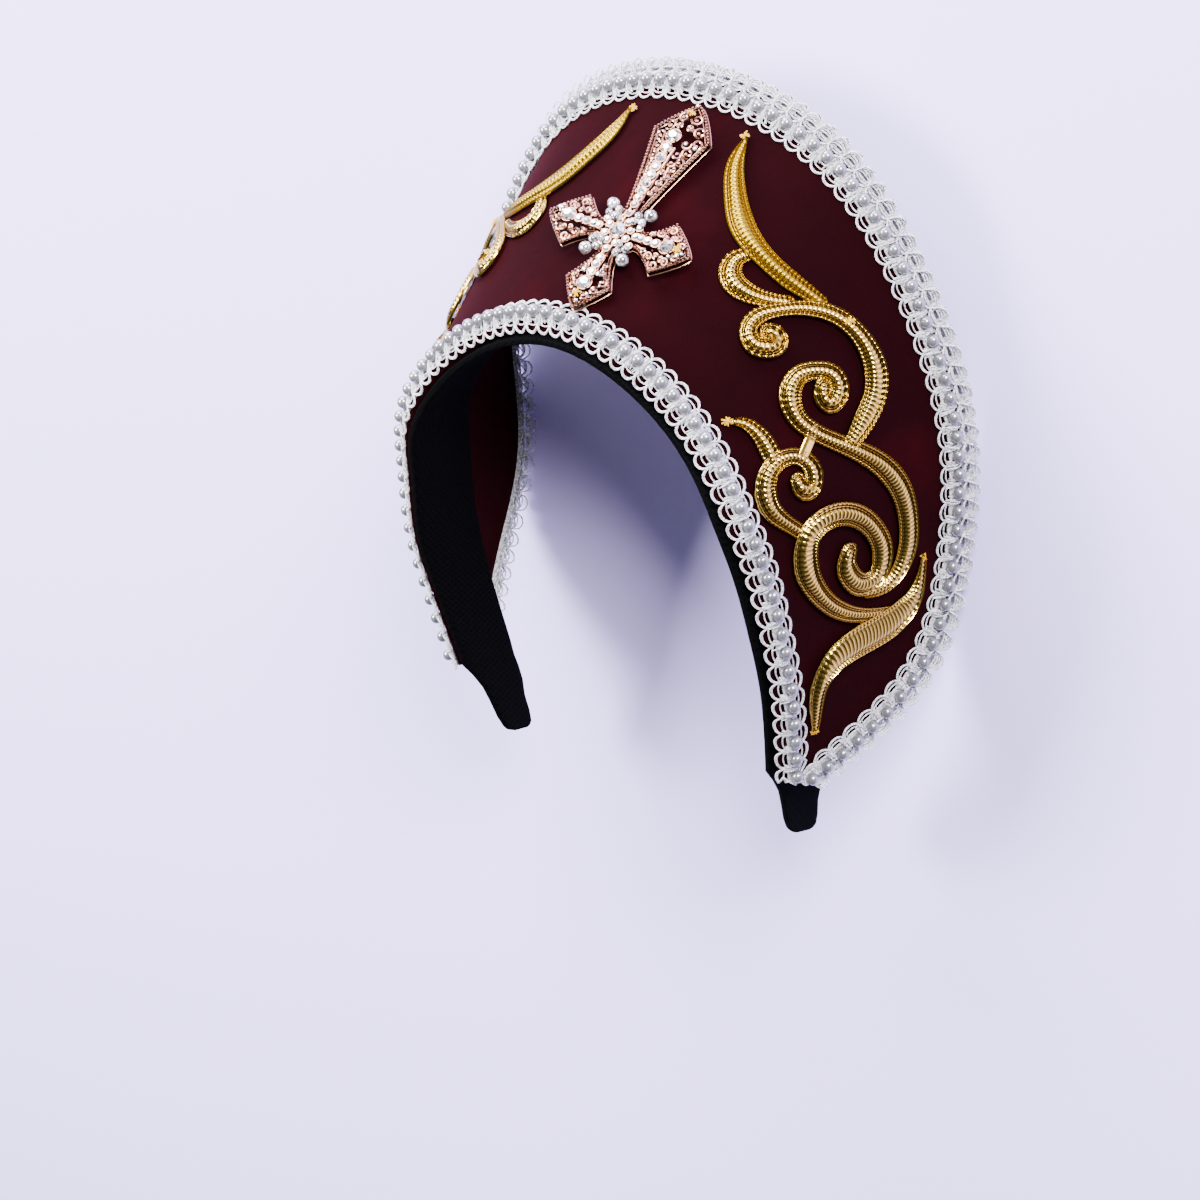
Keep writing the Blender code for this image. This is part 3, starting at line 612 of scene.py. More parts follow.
def ramp(tree, factor, stops):
    """Colour ramp over a factor: stops of position and colour."""
    made = add_node(tree, "ShaderNodeValToRGB", {"Fac": factor})
    elements = made.color_ramp.elements
    while len(elements) < len(stops):
        elements.new(0.5)
    for element, (position, colour) in zip(elements, stops):
        element.position = position
        element.color = (*colour, 1.0)
    return made.outputs["Color"]


def paint(tree, shader, factor, stops):
    """Base colour from a ramp over a factor."""
    tree.links.new(ramp(tree, factor, stops), shader.inputs["Base Color"])


def bump(tree, shader, height, strength, distance_mm):
    made = add_node(tree, "ShaderNodeBump", {
        "Height": height, "Strength": strength, "Distance": distance_mm * MM,
    })
    tree.links.new(made.outputs["Normal"], shader.inputs["Normal"])


def tinted(colour, share):
    """The colour, darker or lighter by a share."""
    return tuple(min(1.0, value * share) for value in colour)


def velvet_material(colours):
    """Cotton velvet: a dense short pile, dark where one looks into it, lit where it leans."""
    material, tree, shader, place = new_material(
        "cotton_velvet_pile", roughness=0.95, specular_ior_level=0.03, sheen_weight=0.05,
        sheen_roughness=0.42, sheen_tint=linear_rgb("#c01830"),
    )
    # The pile is brushed over in patches about 38 mm wide
    paint(tree, shader, noise(tree, place, 38.0, detail=3.0, roughness=0.55), [
        (0.3, tinted(colours.velvet, 0.75)), (0.55, colours.velvet),
        (0.85, colours.velvet_light),
    ])
    # Pile tufts are about 0.2 mm apart, drawn at 0.45 mm so that they show
    bump(tree, shader, noise(tree, place, 0.45, detail=3.0), 0.35, 0.25)
    return material


def cloth_material(colours):
    """Black cotton cloth in plain weave: matt, with threads crossing at right angles."""
    material, tree, shader, place = new_material(
        "black_cotton_weave", roughness=0.95, specular_ior_level=0.02,
    )
    turned = add_node(tree, "ShaderNodeMapping", {
        "Vector": place, "Rotation": (0.3, 0.5, math.radians(45)),
    }).outputs["Vector"]
    # Threads are about 0.35 mm apart, drawn 1.4 mm apart so that they show. A wave texture of
    # scale 1 has its bands 2 pi / 20 apart.
    scale = 2 * math.pi / 20 / (1.4 * MM)
    warp, weft = [
        add_node(
            tree, "ShaderNodeTexWave",
            {"Vector": turned, "Scale": scale, "Distortion": 0.6, "Detail": 1.0},
            bands_direction=direction,
        ).outputs["Fac"]
        for direction in ("X", "Y")
    ]
    weave = add_node(tree, "ShaderNodeMath", {0: warp, 1: weft}, operation="MAXIMUM").outputs[0]
    paint(tree, shader, weave, [
        (0.3, tinted(colours.cloth, 0.45)), (0.9, tinted(colours.cloth, 1.5)),
    ])
    bump(tree, shader, weave, 0.5, 0.12)
    return material


def thread_material(colours):
    """White rayon cord and fuzzy thread: bright, soft gloss, with fine hairs and twist, and painted
    shade between the hairs.
    """
    material, tree, shader, place = new_material(
        "white_rayon_thread", roughness=0.5, specular_ior_level=0.4, sheen_weight=0.3,
        sheen_roughness=0.4, subsurface_weight=0.12, subsurface_radius=(0.001, 0.001, 0.001),
        subsurface_scale=0.5,
    )
    hairs_and_shade = noise(tree, place, 0.7, detail=3.0, roughness=0.7)
    # Painted shade: the noise darkens the thread between the hairs, down to about a quarter of its
    # colour; the same noise bumps the hairs
    paint(tree, shader, hairs_and_shade, [
        (0.4, tinted(colours.thread, 0.28)), (0.56, colours.thread),
    ])
    bump(tree, shader, hairs_and_shade, 0.75, 0.3)
    return material


def pearl_material(colours):
    """Dipped imitation pearl: a milky body under a clear glossy coat."""
    material, tree, shader, place = new_material(
        "dipped_imitation_pearl", roughness=0.4, specular_ior_level=0.5, coat_weight=1.0,
        coat_roughness=0.14, coat_ior=2.2,
    )
    paint(tree, shader, noise(tree, place, 7.0, detail=1.0), [
        (0.35, tinted(colours.pearl, 0.9)), (0.6, colours.pearl),
    ])
    return material


def relief_shade_of(tree):
    """Painted shade from the piece's own relief: 0, darkest, low in a groove, 1 on a crest."""
    return add_node(tree, "ShaderNodeAttribute", attribute_name="relief_shade").outputs["Fac"]


def gilt_material(colours):
    """Pressed brass foil, gold plated: mirror-like crests, with painted shade darkening the
    grooves.
    """
    material, tree, shader, place = new_material("pressed_gilt_brass", metallic=1.0)
    # Painted shade: the relief shade darkens the metal from the crests down into the grooves, on
    # the bright and the dull leaves
    bright = ramp(tree, relief_shade_of(tree), [
        (0.0, colours.gilt_groove_shade), (0.55, tinted(colours.gilt, 0.45)),
        (1.0, colours.gilt),
    ])
    dull = ramp(tree, relief_shade_of(tree), [
        (0.0, tinted(colours.gilt_dull, 0.45)), (1.0, colours.gilt_dull),
    ])
    tone = add_node(tree, "ShaderNodeAttribute", attribute_name="dull").outputs["Fac"]
    mixed = add_node(tree, "ShaderNodeMix", {0: tone, 6: bright, 7: dull}, data_type="RGBA")
    tree.links.new(mixed.outputs[2], shader.inputs["Base Color"])
    gloss = add_node(tree, "ShaderNodeMapRange", {"Value": tone, 3: 0.17, 4: 0.34}).outputs[0]
    tree.links.new(gloss, shader.inputs["Roughness"])
    bump(tree, shader, noise(tree, place, 1.6, detail=2.0), 0.12, 0.1)
    return material


def rose_gold_material(colours):
    """Die-cast alloy, plated rose gold: bright edges, with painted shade in the recesses."""
    material, tree, shader, place = new_material("plated_rose_gold", metallic=1.0, roughness=0.2)
    # Painted shade: the relief shade darkens the standing rim, wires and grains, and leaves the
    # border beads bright
    paint(tree, shader, relief_shade_of(tree), [
        (0.0, colours.rose_groove_shade), (1.0, colours.rose),
    ])
    bump(tree, shader, noise(tree, place, 0.9), 0.1, 0.06)
    return material


def crystal_material(colours):
    """Foil-backed cut glass, with painted reflections: dark and bright patches for facets that
    mirror the room.
    """
    material, tree, shader, place = new_material(
        "foil_backed_crystal", metallic=0.85, roughness=0.04, coat_weight=1.0, coat_roughness=0.02,
    )
    # Painted reflections: noise paints dark, bright and pale pink facets over the stone
    paint(tree, shader, noise(tree, place, 1.1, detail=1.0), [
        (0.38, tinted(colours.crystal, 0.2)), (0.48, colours.crystal),
        (0.66, linear_rgb("#fbe6e0")),
    ])
    return material


def bead_material(colours):
    """Round glass bead with a lustre coat: grey, with a sharp highlight and painted reflections."""
    material, tree, shader, place = new_material(
        "lustred_glass_bead", metallic=0.75, roughness=0.12, coat_weight=1.0, coat_roughness=0.04,
    )
    # Painted reflections: noise paints dark and bright patches over the bead
    paint(tree, shader, noise(tree, place, 1.8, detail=1.0), [
        (0.4, tinted(colours.bead, 0.3)), (0.52, colours.bead),
        (0.66, linear_rgb("#f4eef2")),
    ])
    return material


def tack_material(colours):
    """Yellow silk thread: a few loose strands with a soft gloss."""
    material, tree, shader, place = new_material(
        "yellow_silk_thread", roughness=0.6, specular_ior_level=0.2,
    )
    strands = noise(tree, place, 0.5)
    paint(tree, shader, strands, [
        (0.35, tinted(colours.tack, 0.6)), (0.6, colours.tack),
    ])
    bump(tree, shader, strands, 0.4, 0.1)
    return material


def floor_material(colours):
    """Seamless paper: matt, pale and even."""
    material, tree, shader, place = new_material(
        "seamless_paper", roughness=0.95, specular_ior_level=0.1,
    )
    paint(tree, shader, noise(tree, place, 400.0), [
        (0.3, tinted(colours.floor, 0.99)), (0.7, colours.floor),
    ])
    return material


def wall_section(thickness, columns):
    """Closed section of a cloth wall: share of the width, offset from there, height."""
    front = [(share, 0.0, 0.0) for share in np.linspace(0, 1, columns + 1)[1:-1]]
    back = [(1 - share, 0.0, -thickness) for share, _, _ in front]
    quarter = np.radians((180, 150, 120, 90))
    high, low = -EDGE_ROUND, EDGE_ROUND - thickness
    centres = ((0, 1, high), (1, -1, high), (1, -1, low), (0, 1, low))
    corners = [
        [
            (share, EDGE_ROUND * (side + math.cos(a)), level + EDGE_ROUND * math.sin(a))
            for a in quarter - index * math.pi / 2
        ]
        for index, (share, side, level) in enumerate(centres)
    ]
    ring = corners[0] + front + corners[1] + corners[2] + back + corners[3]
    return ring + ring[:1]


def build_crescent(material):
    """The crescent as one closed shell with rounded edges."""
    rows = np.linspace(-1, 1, SHELL_ROWS + 1)
    width = face_frame(rows)[2]
    columns = [
        face_at(rows, share * width + offset, height)
        for share, offset, height in wall_section(SHELL_THICKNESS, SHELL_COLUMNS)
    ]
    bm = grid_mesh(np.stack(columns, axis=1))
    close_up(bm)
    add_piece("crescent_velvet", bm, material, "velvet", "crescent", on_floor=True)


def band_frame(along):
    """Front corner of the band's outer face, its width direction and its outward normal."""
    start, outward, _, normal = face_frame(along)
    lean_at = spline(np.linspace(0, 1, len(BAND_LEAN)), np.array(BAND_LEAN)[:, None])
    lean = np.radians(lean_at(np.abs(along)))
    rearward = outward * np.cos(lean) - normal * np.sin(lean)
    up = outward * np.sin(lean) + normal * np.cos(lean)
    corner = start - normal * (SHELL_THICKNESS + GAP) - rearward * BAND_AHEAD
    return corner, rearward, up


def mirrored_rows(half):
    """Rows of both sides, from the rows of the left side, the first of which is the crown's."""
    return np.concatenate([half[:0:-1] * (-1, 1, 1), half])


def band_half():
    """Rows of the left half of the band: front corner, width direction, outward, width."""
    rows = np.linspace(0, 1, BAND_ROWS // 2 + 1)
    corner, rearward, outward = band_frame(rows)
    width = np.full(len(rows), BAND_WIDTH)
    down = unit(corner[-1] - corner[-2])
    ends = [corner[-1] + down * drop + rearward[-1] * shift for drop, shift, _ in BAND_END]
    corner = np.vstack([corner, ends])
    rearward = np.vstack([rearward, [rearward[-1]] * len(ends)])
    flat = unit(np.cross(down, rearward[-1]))
    outward = np.vstack([outward[:-1], [flat] * (len(ends) + 1)])
    width = np.append(width, [end_width for *_, end_width in BAND_END])
    return corner, rearward, outward, width


def build_headband(material):
    corner, rearward, outward, width = band_half()
    columns = [
        mirrored_rows(corner + rearward * (share * width + offset)[:, None] + outward * height)
        for share, offset, height in wall_section(BAND_THICKNESS, 6)
    ]
    bm = grid_mesh(np.stack(columns, axis=1))
    close_up(bm)
    add_piece("headband_cloth", bm, material, "black_cloth", "headband")


def strip_finder(line, up, side, give, bend):
    """Places on a strip: distance along its line, sideways (plus into the face), height."""
    length = length_along(line)
    flat_from, flat_to, radius = bend

    def at(along, sideways, height):
        along = np.clip(np.asarray(along, float), 0, length[-1])
        sideways = np.broadcast_to(np.asarray(sideways, float), along.shape)
        sideways = np.where(sideways > 0, sideways * np.interp(along, length, give), sideways)
        level = np.clip(sideways, flat_from, flat_to)
        turn = np.clip((sideways - level) / radius, -math.pi / 2, math.pi / 2)
        sideways = level + (radius + height) * np.sin(turn)
        raised = (radius + height) * np.cos(turn) - radius
        base = sample(length, line, along)
        across = unit(sample(length, side, along))
        outward = unit(sample(length, up, along))
        return base + across * sideways[:, None] + outward * raised[:, None]

    return at, length[-1]


def face_strip(from_rim):
    """Strip that lies on the face along the inner edge, or along the rim."""
    rows = np.linspace(-1, 1, LINE_SAMPLES)
    _, outward, width, _ = face_frame(rows)
    inset = np.minimum(PEARL_INSET, width / 2 - TUBE_RADIUS - GAP / 2)
    distance = width - inset if from_rim else inset
    line = face_at(rows, distance, GAP)
    normal = face_frame(rows, distance / width)[3]
    side = unit(np.cross(normal, np.gradient(line, axis=0)))
    inward = -outward if from_rim else outward
    side *= np.sign(np.sum(side * inward, axis=1, keepdims=True))
    give = np.clip((width / 2 - inset) / LACE_HALF_WIDTH, TIP_SHARE, 1.0)
    return strip_finder(line, normal, side, give, EDGE_BEND)


def rim_strip():
    """Strip that wraps round the rim, with the pearls over its middle."""
    rows = np.linspace(-1, 1, LINE_SAMPLES)
    _, outward, _, normal = face_frame(rows, 1.0)
    tangent = unit(rim_edge(rows + SMALL_STEP) - rim_edge(rows - SMALL_STEP))
    square = unit(outward - tangent * np.sum(outward * tangent, axis=1, keepdims=True))
    line = rim_edge(rows) + square * GAP + normal * RIM_PEARL_HEIGHT
    floor = unit(np.array((0.0, 1.0, RIM_PLANE_SLOPE)))
    depth = line @ floor
    flat_end = (RIM_PLANE_STATIONS - 1) / (len(EDGES) - 1)
    blend = np.clip((flat_end - np.abs(rows)) / RIM_PLANE_FADE, 0, 1)
    line += floor * ((depth.max() - depth) * blend)[:, None]
    return strip_finder(line, square, normal, np.ones(len(rows)), RIM_BEND)


def pearl_numbers(length, pitch, shares):
    """Count of the pearls, and the distance along the strip as a function of their number."""
    along = np.linspace(0, length, LINE_SAMPLES)
    rate = 1 / (pitch * np.interp(np.abs(2 * along / length - 1), *zip(*shares)))
    number = np.append(0, np.cumsum((rate[1:] + rate[:-1]) / 2 * np.diff(along)))
    count = round(number[-1])
    number *= count / number[-1]
    return count, lambda place: np.interp(place, number, along)


def scallops(bm, at, count, station):
    """Looped cords on each side of the pearls."""
    turns = np.arange(count * SCALLOP_STEPS + 1) / SCALLOP_STEPS
    swing = (1 - np.cos(2 * math.pi * turns)) / 2
    for near, far, bulge, height, radius in SCALLOPS:
        along = station(turns - bulge * np.sin(2 * math.pi * turns) / (2 * math.pi))
        for side in (-1, 1):
            sideways = side * (near + (far - near) * swing)
            cords(bm, [at(along, sideways, height + SCALLOP_RISE * (1 - swing))], radius)


def knots(bm, at, count, station, random_source):
    """Fuzzy threads woven across the strip between two pearls."""
    for thread in range(KNOT_THREADS):
        paths = []
        for number in range(count + 1):
            shift, slant = (random_source.uniform(-KNOT_SPREAD, KNOT_SPREAD) for _ in range(2))
            half = random_source.uniform(*KNOT_HALF)
            crown = random_source.uniform(*KNOT_CROWN)
            along = station(number) + shift + slant * KNOT_REACH
            paths.append(at(along, half * KNOT_REACH, KNOT_HEIGHT + crown * (1 - KNOT_REACH ** 2)))
        share = thread / (KNOT_THREADS - 1)
        cords(bm, paths, KNOT_RADIUS[0] + (KNOT_RADIUS[1] - KNOT_RADIUS[0]) * share, resolution=0)


def tape(bm, at, length):
    """Woven ground under the pearls."""
    along = np.linspace(0, length, round(length / TAPE_STEP) + 1)
    turn = np.linspace(-math.pi, math.pi, TAPE_SIDES + 1)
    columns = [
        at(along, TAPE_HALF_WIDTH * math.cos(a), TAPE_HEIGHT / 2 * (1 + math.sin(a)))
        for a in turn
    ]
    part = grid_mesh(np.stack(columns, axis=1))
    close_up(part)
    join_bmesh(bm, part)


def build_gimp(name, strip, shares, node, material, sizes):
    at, length = strip
    count, station = pearl_numbers(length, sizes.pearl_pitch / MM, shares)
    bm = bmesh.new()
    tape(bm, at, length)
    scallops(bm, at, count, station)
    knots(bm, at, count, station, random.Random(sizes.seed))
    add_piece(
        name, bm, material, "white_thread", node, crease=THREAD_CREASE, on_floor=True,
    )


def build_rim_net(strip, shares, material, sizes):
    """Fine threads drawn over each pearl of the rim."""
    at, length = strip
    count, station = pearl_numbers(length, sizes.pearl_pitch / MM, shares)
    arch = NET_HEIGHT * sizes.pearl_radius / MM * np.sqrt(1 - NET_REACH ** 2)
    bm = bmesh.new()
    for start, end, share, radius in OVER_PEARL:
        sideways = (start + end) / 2 + (end - start) / 2 * NET_REACH
        paths = [
            at(station(number + 0.5 + 0.5 * NET_REACH), sideways, NET_FOOT + share * arch)
            for number in range(count)
        ]
        cords(bm, paths, radius, resolution=0)
    add_piece(
        "rim_net", bm, material, "white_thread", crease=THREAD_CREASE, on_floor=True,
    )


def build_pearls(name, strip, shares, node, material, sizes):
    """One round pearl in the middle of each scallop."""
    at, length = strip
    count, station = pearl_numbers(length, sizes.pearl_pitch / MM, shares)
    height = LACE_THICKNESS + GAP + TUBE_RADIUS
    bm = bmesh.new()
    balls(bm, at(station(np.arange(count) + 0.5), 0.0, height), sizes.pearl_radius / MM)
    add_piece(name, bm, material, "pearl", node, crease=THREAD_CREASE, on_floor=True)


def scroll_path(bends, step):
    """Centre line of a scroll: along, across and width at equal steps."""
    bends = np.array(bends, float) * (0.01, 0.01, 1)
    length = length_along(face(bends[:, 0], bends[:, 1]))
    count = max(4, round(length[-1] / step) + 1)
    return spline(length, bends)(np.linspace(0, length[-1], count))


def half_widths(points, side, width):
    """Width to the left and right, kept short of the centre of a tight bend."""
    step = np.linalg.norm(np.gradient(points, axis=0), axis=1)[:, None]
    tangent = unit(np.gradient(points, axis=0))
    turn = np.sum(np.gradient(tangent, axis=0) / step * side, axis=1)
    reach = SCROLL_TURN_SHARE / np.maximum(np.abs(turn), 1e-6)
    inside = np.minimum(width / 2, reach)
    left = np.where(turn > 0, inside, width / 2)
    right = np.where(turn < 0, inside, width / 2)
    span = 2 * SCROLL_SMOOTHING + 1
    return [
        np.convolve(np.pad(half, SCROLL_SMOOTHING, mode="edge"), np.ones(span) / span, mode="valid")
        for half in (left, right)
    ]


def around(centre, side, tangent, normal, left, right):
    """Stations round a ribbon: spine point, direction out, half width, normal, number."""
    number = np.arange(len(centre))
    stations = [
        (centre, side, left, normal, number),
        (centre[::-1], -side[::-1], right[::-1], normal[::-1], number[::-1]),
    ]
    caps = []
    for end, turn_sign in ((-1, 1), (0, -1)):
        half = (left[end] + right[end]) / 2
        count = max(8, round(math.pi * half / SCROLL_CAP_STEP))
        angle = np.linspace(0, math.pi, count + 2)[1:-1, None]
        out = turn_sign * (side[end] * np.cos(angle) + tangent[end] * np.sin(angle))
        first, last = (left[end], right[end]) if end else (right[end], left[end])
        halves = first + (last - first) * angle[:, 0] / math.pi
        tiled = (np.tile(centre[end], (count, 1)), out, halves, np.tile(normal[end], (count, 1)))
        caps.append((*tiled, number[end] + np.arange(count)))
    ordered = [stations[0], caps[0], stations[1], caps[1]]
    joined = [np.concatenate(values) for values in zip(*ordered)]
    return [np.concatenate([values, values[:1]]) for values in joined]


def ribbon(bends, base, step, plain, dull):
    """One gilt ribbon: a milled wire, beads and a fine rope round a ribbed crown."""
    along, across, width = scroll_path(bends, step).T
    centre = face(along, across, base)
    normal = face_frame(along, across)[3]
    tangent = unit(np.gradient(centre, axis=0))
    side = unit(np.cross(normal, tangent))
    left, right = half_widths(centre, side, width)
    spine, out, half, up, number = around(centre, side, tangent, normal, left, right)
    share = np.minimum(1.0, half / FULL_BORDER_FROM)
    phase = number % BEAD_STATIONS / BEAD_STATIONS
    bead = np.sin(math.pi * phase)
    rib = (1 + np.cos(2 * math.pi * phase)) / 2
    none = 0 * half
    # Columns of the section: distance from the spine, height, relief shade (painted shade, low in
    # the grooves)
    columns = [(none, none, none), (half, none, none)]
    if plain:
        columns += [(half - inset, height + none, 1 + none) for inset, height in PLAIN_SECTION]
        columns.append((none, PLAIN_SECTION[-1][1] + none, 1 + none))
    else:
        lowered = (1 + share) / 2
        for inset, height, raised, relief_shade in BORDER[1:]:
            # Painted shade: a raised bead lighter at its top, darker between beads
            shade = 1 - BEAD_SHADE + BEAD_SHADE * bead if raised else 1 + none
            level = (height + raised * bead) * lowered
            columns.append((half - inset * share, level, relief_shade * shade))
        crown_half = half - BORDER_WIDTH * share
        rise = CROWN_RISE * np.minimum(1.0, crown_half / FULL_CROWN_FROM)
        for inward, level in CROWN:
            # Painted shade: the crown darker towards its foot and in the groove of each rib
            notch = RIB_DEPTH * rib * min(1.0, 0.5 + inward)
            shade = (FOOT_SHADE + (1 - FOOT_SHADE) * level) * (1 - RIB_SHADE * rib)
            height = (CROWN_FOOT + rise * level) * lowered - notch
            columns.append((crown_half * (1 - inward), height, shade))
    grid = np.stack([
        spine + out * place[:, None] + up * height[:, None] for place, height, _ in columns
    ], axis=1)
    relief_shade = np.stack([shade for *_, shade in columns], axis=1)
    return grid_mesh(grid, {"relief_shade": relief_shade, "dull": np.full(relief_shade.shape, float(dull))})


def build_appliques(material, sizes):
    """The gilt scrolls of the left side, and their mirror image."""
    step = sizes.bead_pitch / MM / BEAD_STATIONS
    left = bmesh.new()
    for name in ("relief_shade", "dull"):
        left.verts.layers.float.new(name)
    for index, name in enumerate(SCROLL_ORDER):
        base = GAP + index * SCROLL_LAYER
        part = ribbon(SCROLLS[name], base, step, name in PLAIN_SCROLLS, name in DULL_SCROLLS)
        close_up(part)
        join_bmesh(left, part)
    right = left.copy()
    bmesh.ops.scale(right, vec=(-1, 1, 1), verts=right.verts)
    bmesh.ops.reverse_faces(right, faces=right.faces)
    for side, bm in (("left", left), ("right", right)):
        add_piece(
            f"applique_{side}_gilt", bm, material, "gilt", f"applique_{side}", crease=GILT_CREASE,
        )


def polar(bearing, out, side=0.0):
    """Place on the flat brooch: a distance out along a bearing, and to its left."""
    angle = math.radians(bearing)
    cosine, sine = math.cos(angle), math.sin(angle)
    return np.array((out * cosine - side * sine, out * sine + side * cosine))


def brooch_frame():
    """Middle of the brooch on the face, and its right, upward and outward directions."""
    near, far = face_at(np.array([-SMALL_STEP, SMALL_STEP]), BROOCH_FROM_EDGE, 0.0)
    along = BROOCH_X * 2 * SMALL_STEP / np.linalg.norm(far - near)
    middle, beside = face_at(np.array([along, along + SMALL_STEP]), BROOCH_FROM_EDGE, 0.0)
    ahead = face_at(np.array([along]), BROOCH_FROM_EDGE + 1, 0.0)[0] - middle
    right = unit(beside - middle)
    ahead = unit(ahead - right * (ahead @ right))
    return middle, np.stack([right, ahead, np.cross(right, ahead)])


BROOCH_MIDDLE, BROOCH_AXES = brooch_frame()


def on_brooch(flat, height):
    """From the flat brooch, which is stiff, to its place on the hood."""
    flat = np.reshape(np.asarray(flat, float), (-1, 2))
    height = np.broadcast_to(height, len(flat))
    return BROOCH_MIDDLE + np.column_stack([flat, height]) @ BROOCH_AXES


def on_dome(flat, height=0.0):
    """The same, over the filigree, which rises from the frame to the middle of each arm."""
    flat = np.reshape(np.asarray(flat, float), (-1, 2))
    rise = DOME_RISE * np.clip(1 - np.abs(flat).min(axis=1) / DOME_HALF, 0, 1)
    return on_brooch(flat, BROOCH_TOP + rise + height)


def arm_side(bearing, tip, corner, corner_half, waist, waist_half, flare):
    """Distances out along an arm, and its half width there, from the waist to the tip."""
    share = np.linspace(0, 1, ARM_STEPS)
    opening = waist_half + (corner_half - waist_half) * share ** flare
    closing = np.linspace(1, 0, ARM_STEPS)[1:]
    rising = waist + (corner - waist) * share
    falling = corner + (tip - corner) * (1 - closing ** ARM_END_POWER)
    return [*rising, *falling], [*opening, *(corner_half * closing)]


def brooch_outline():
    """Outline of the flat cross, anticlockwise, at about even steps."""
    points = []
    for arm in ARMS:
        side = list(zip(*arm_side(*arm)))
        points += [polar(arm[0], out, -half) for out, half in side]
        points += [polar(arm[0], out, half) for out, half in side[-2::-1]]
    return np.array(points + points[:1])


def inset_outline(distance):
    """The outline moved inwards, as a closed path."""
    outline = brooch_outline()[:-1]
    ahead = np.roll(outline, -1, axis=0) - np.roll(outline, 1, axis=0)
    normal = unit(np.stack([-ahead[:, 1], ahead[:, 0]], axis=1))
    moved = outline + normal * distance
    return np.concatenate([moved, moved[:1]])


def brooch_wall(bm):
    """The standing rim of the cross, as one closed ring."""
    section = [(inset, WALL_TOP - drop) for inset, drop in WALL_SECTION]
    foot = [(section[end][0], BROOCH_BASE) for end in (0, -1)]
    section = [foot[0], *section, foot[1], foot[0]]
    grid = np.stack([on_brooch(inset_outline(inset), height) for inset, height in section], axis=1)
    relief_shade = np.full(grid.shape[:2], WALL_RELIEF_SHADE)
    part = grid_mesh(grid, {"relief_shade": relief_shade})
    close_up(part)
    join_bmesh(bm, part)


def curl(arm, out, offset, radius, first, sweep, side):
    """Path of one filigree curl on the flat brooch."""
    turn = np.linspace(0, 1, CURL_STEPS)
    angle = np.radians(first + sweep * turn)
    reach = radius * (1 - (1 - CURL_TIGHTEN) * turn)
    return np.array([
        polar(ARMS[arm][0], out + r * math.cos(a), side * (offset + r * math.sin(a)))
        for r, a in zip(reach, angle)
    ])


def raise_relief_shade(bm, value):
    """Give the relief shade, a painted shade value, to the points that have none yet."""
    layer = bm.verts.layers.float["relief_shade"]
    for vert in bm.verts:
        if vert[layer] == 0.0:
            vert[layer] = value


def brooch_curls(bm, sizes):
    wire = sizes.curl_wire / MM
    paths, ends = [], []
    for arms, out, offset, radius, first, sweep in CURLS:
        for arm in arms:
            for side in (-1, 1):
                flat = curl(arm, out, offset, radius, first, sweep, side)
                paths.append(on_dome(flat, -CURL_DROP))
                ends.append(on_dome(flat[-1], -CURL_DROP)[0])
    cords(bm, paths, wire)
    balls(bm, ends, wire * CURL_END, 8, 5)


def brooch_rails(bm):
    """Bars under the rows of stones, and the wires inside and behind the rim."""
    for bearing, tip, *_ in ARMS:
        reach = np.linspace(0, tip * RAIL_SHARE, 12)
        for side in (-RAIL_SIDE, RAIL_SIDE):
            bar = on_dome([polar(bearing, out, side) for out in reach], -RAIL_DROP)
            cords(bm, [bar], RAIL_RADIUS)
    for inset, height, radius in RIM_WIRES:
        cords(bm, [on_brooch(inset_outline(inset), height)], radius)


def border_beads(bm):
    """Row of milled beads round the rim of the cross."""
    path = inset_outline(BORDER_BEAD_INSET)
    length = length_along(path)
    count = round(length[-1] / BORDER_BEAD_STEP)
    places = sample(length, path, np.arange(count) * length[-1] / count)
    balls(bm, on_brooch(places, BROOCH_TOP - BORDER_BEAD_DROP), BORDER_BEAD_RADIUS, 6, 4)


def strewn(amount, random_source):
    """Random places over the four arms, with a radius for each."""
    count, least, greatest = amount
    places = []
    while len(places) < count:
        arm = random_source.choice(ARMS)
        out = random_source.uniform(arm[4], arm[1])
        half = np.interp(out, *arm_side(*arm)) - STREWN_MARGIN
        if half > 0:
            place = polar(arm[0], out, random_source.uniform(-half, half))
            places.append((place, random_source.uniform(least, greatest)))
    return places


def stone_places():
    """Flat place and radius of every cut stone."""
    places = [(polar(bearing, out), radius) for bearing, out, radius in STONES]
    for out, count, first, radius in STONE_RINGS:
        places += [(polar(first + 360 * i / count, out), radius) for i in range(count)]
    return places


def stone_settings(bm):
    """Ring round the girdle of each stone, with four claws on the large ones."""
    turn = np.linspace(0, 2 * math.pi, 17)
    ring = np.stack([np.cos(turn), np.sin(turn)], axis=1)
    for place, radius in stone_places():
        girdle = on_dome(place) + ring @ BROOCH_AXES[:2] * (radius + SETTING_GAP)
        cords(bm, [girdle], SETTING_RADIUS)
        if radius > CLAWS_FROM:
            claws = np.array([polar(bearing, radius * CLAW_SHARE) for bearing in CLAW_BEARINGS])
            balls(bm, on_dome(place, CLAW_HEIGHT) + claws @ BROOCH_AXES[:2], CLAW_RADIUS, 8, 5)


def add_stone(bm, place, radius, random_source):
    """Cut stone: a pavilion, a girdle, sloping crown facets and a flat table."""
    centre = on_dome(place)[0]
    tilt = Euler([random_source.uniform(-STONE_TILT, STONE_TILT) for _ in range(3)]).to_matrix()
    turn = (Matrix(BROOCH_AXES.T.tolist()) @ tilt).to_4x4()
    crown = (radius, radius * STONE_TABLE, 0.0, radius * STONE_RISE)
    pavilion = (STONE_POINT, radius, -STONE_DEPTH, 0.0)
    for first, last, low, high in (crown, pavilion):
        offset = Matrix.Translation((0, 0, (low + high) / 2))
        bmesh.ops.create_cone(
            bm, cap_ends=True, segments=STONE_SIDES, radius1=first, radius2=last, depth=high - low,
            matrix=Matrix.Translation(Vector(centre)) @ turn @ offset,
        )


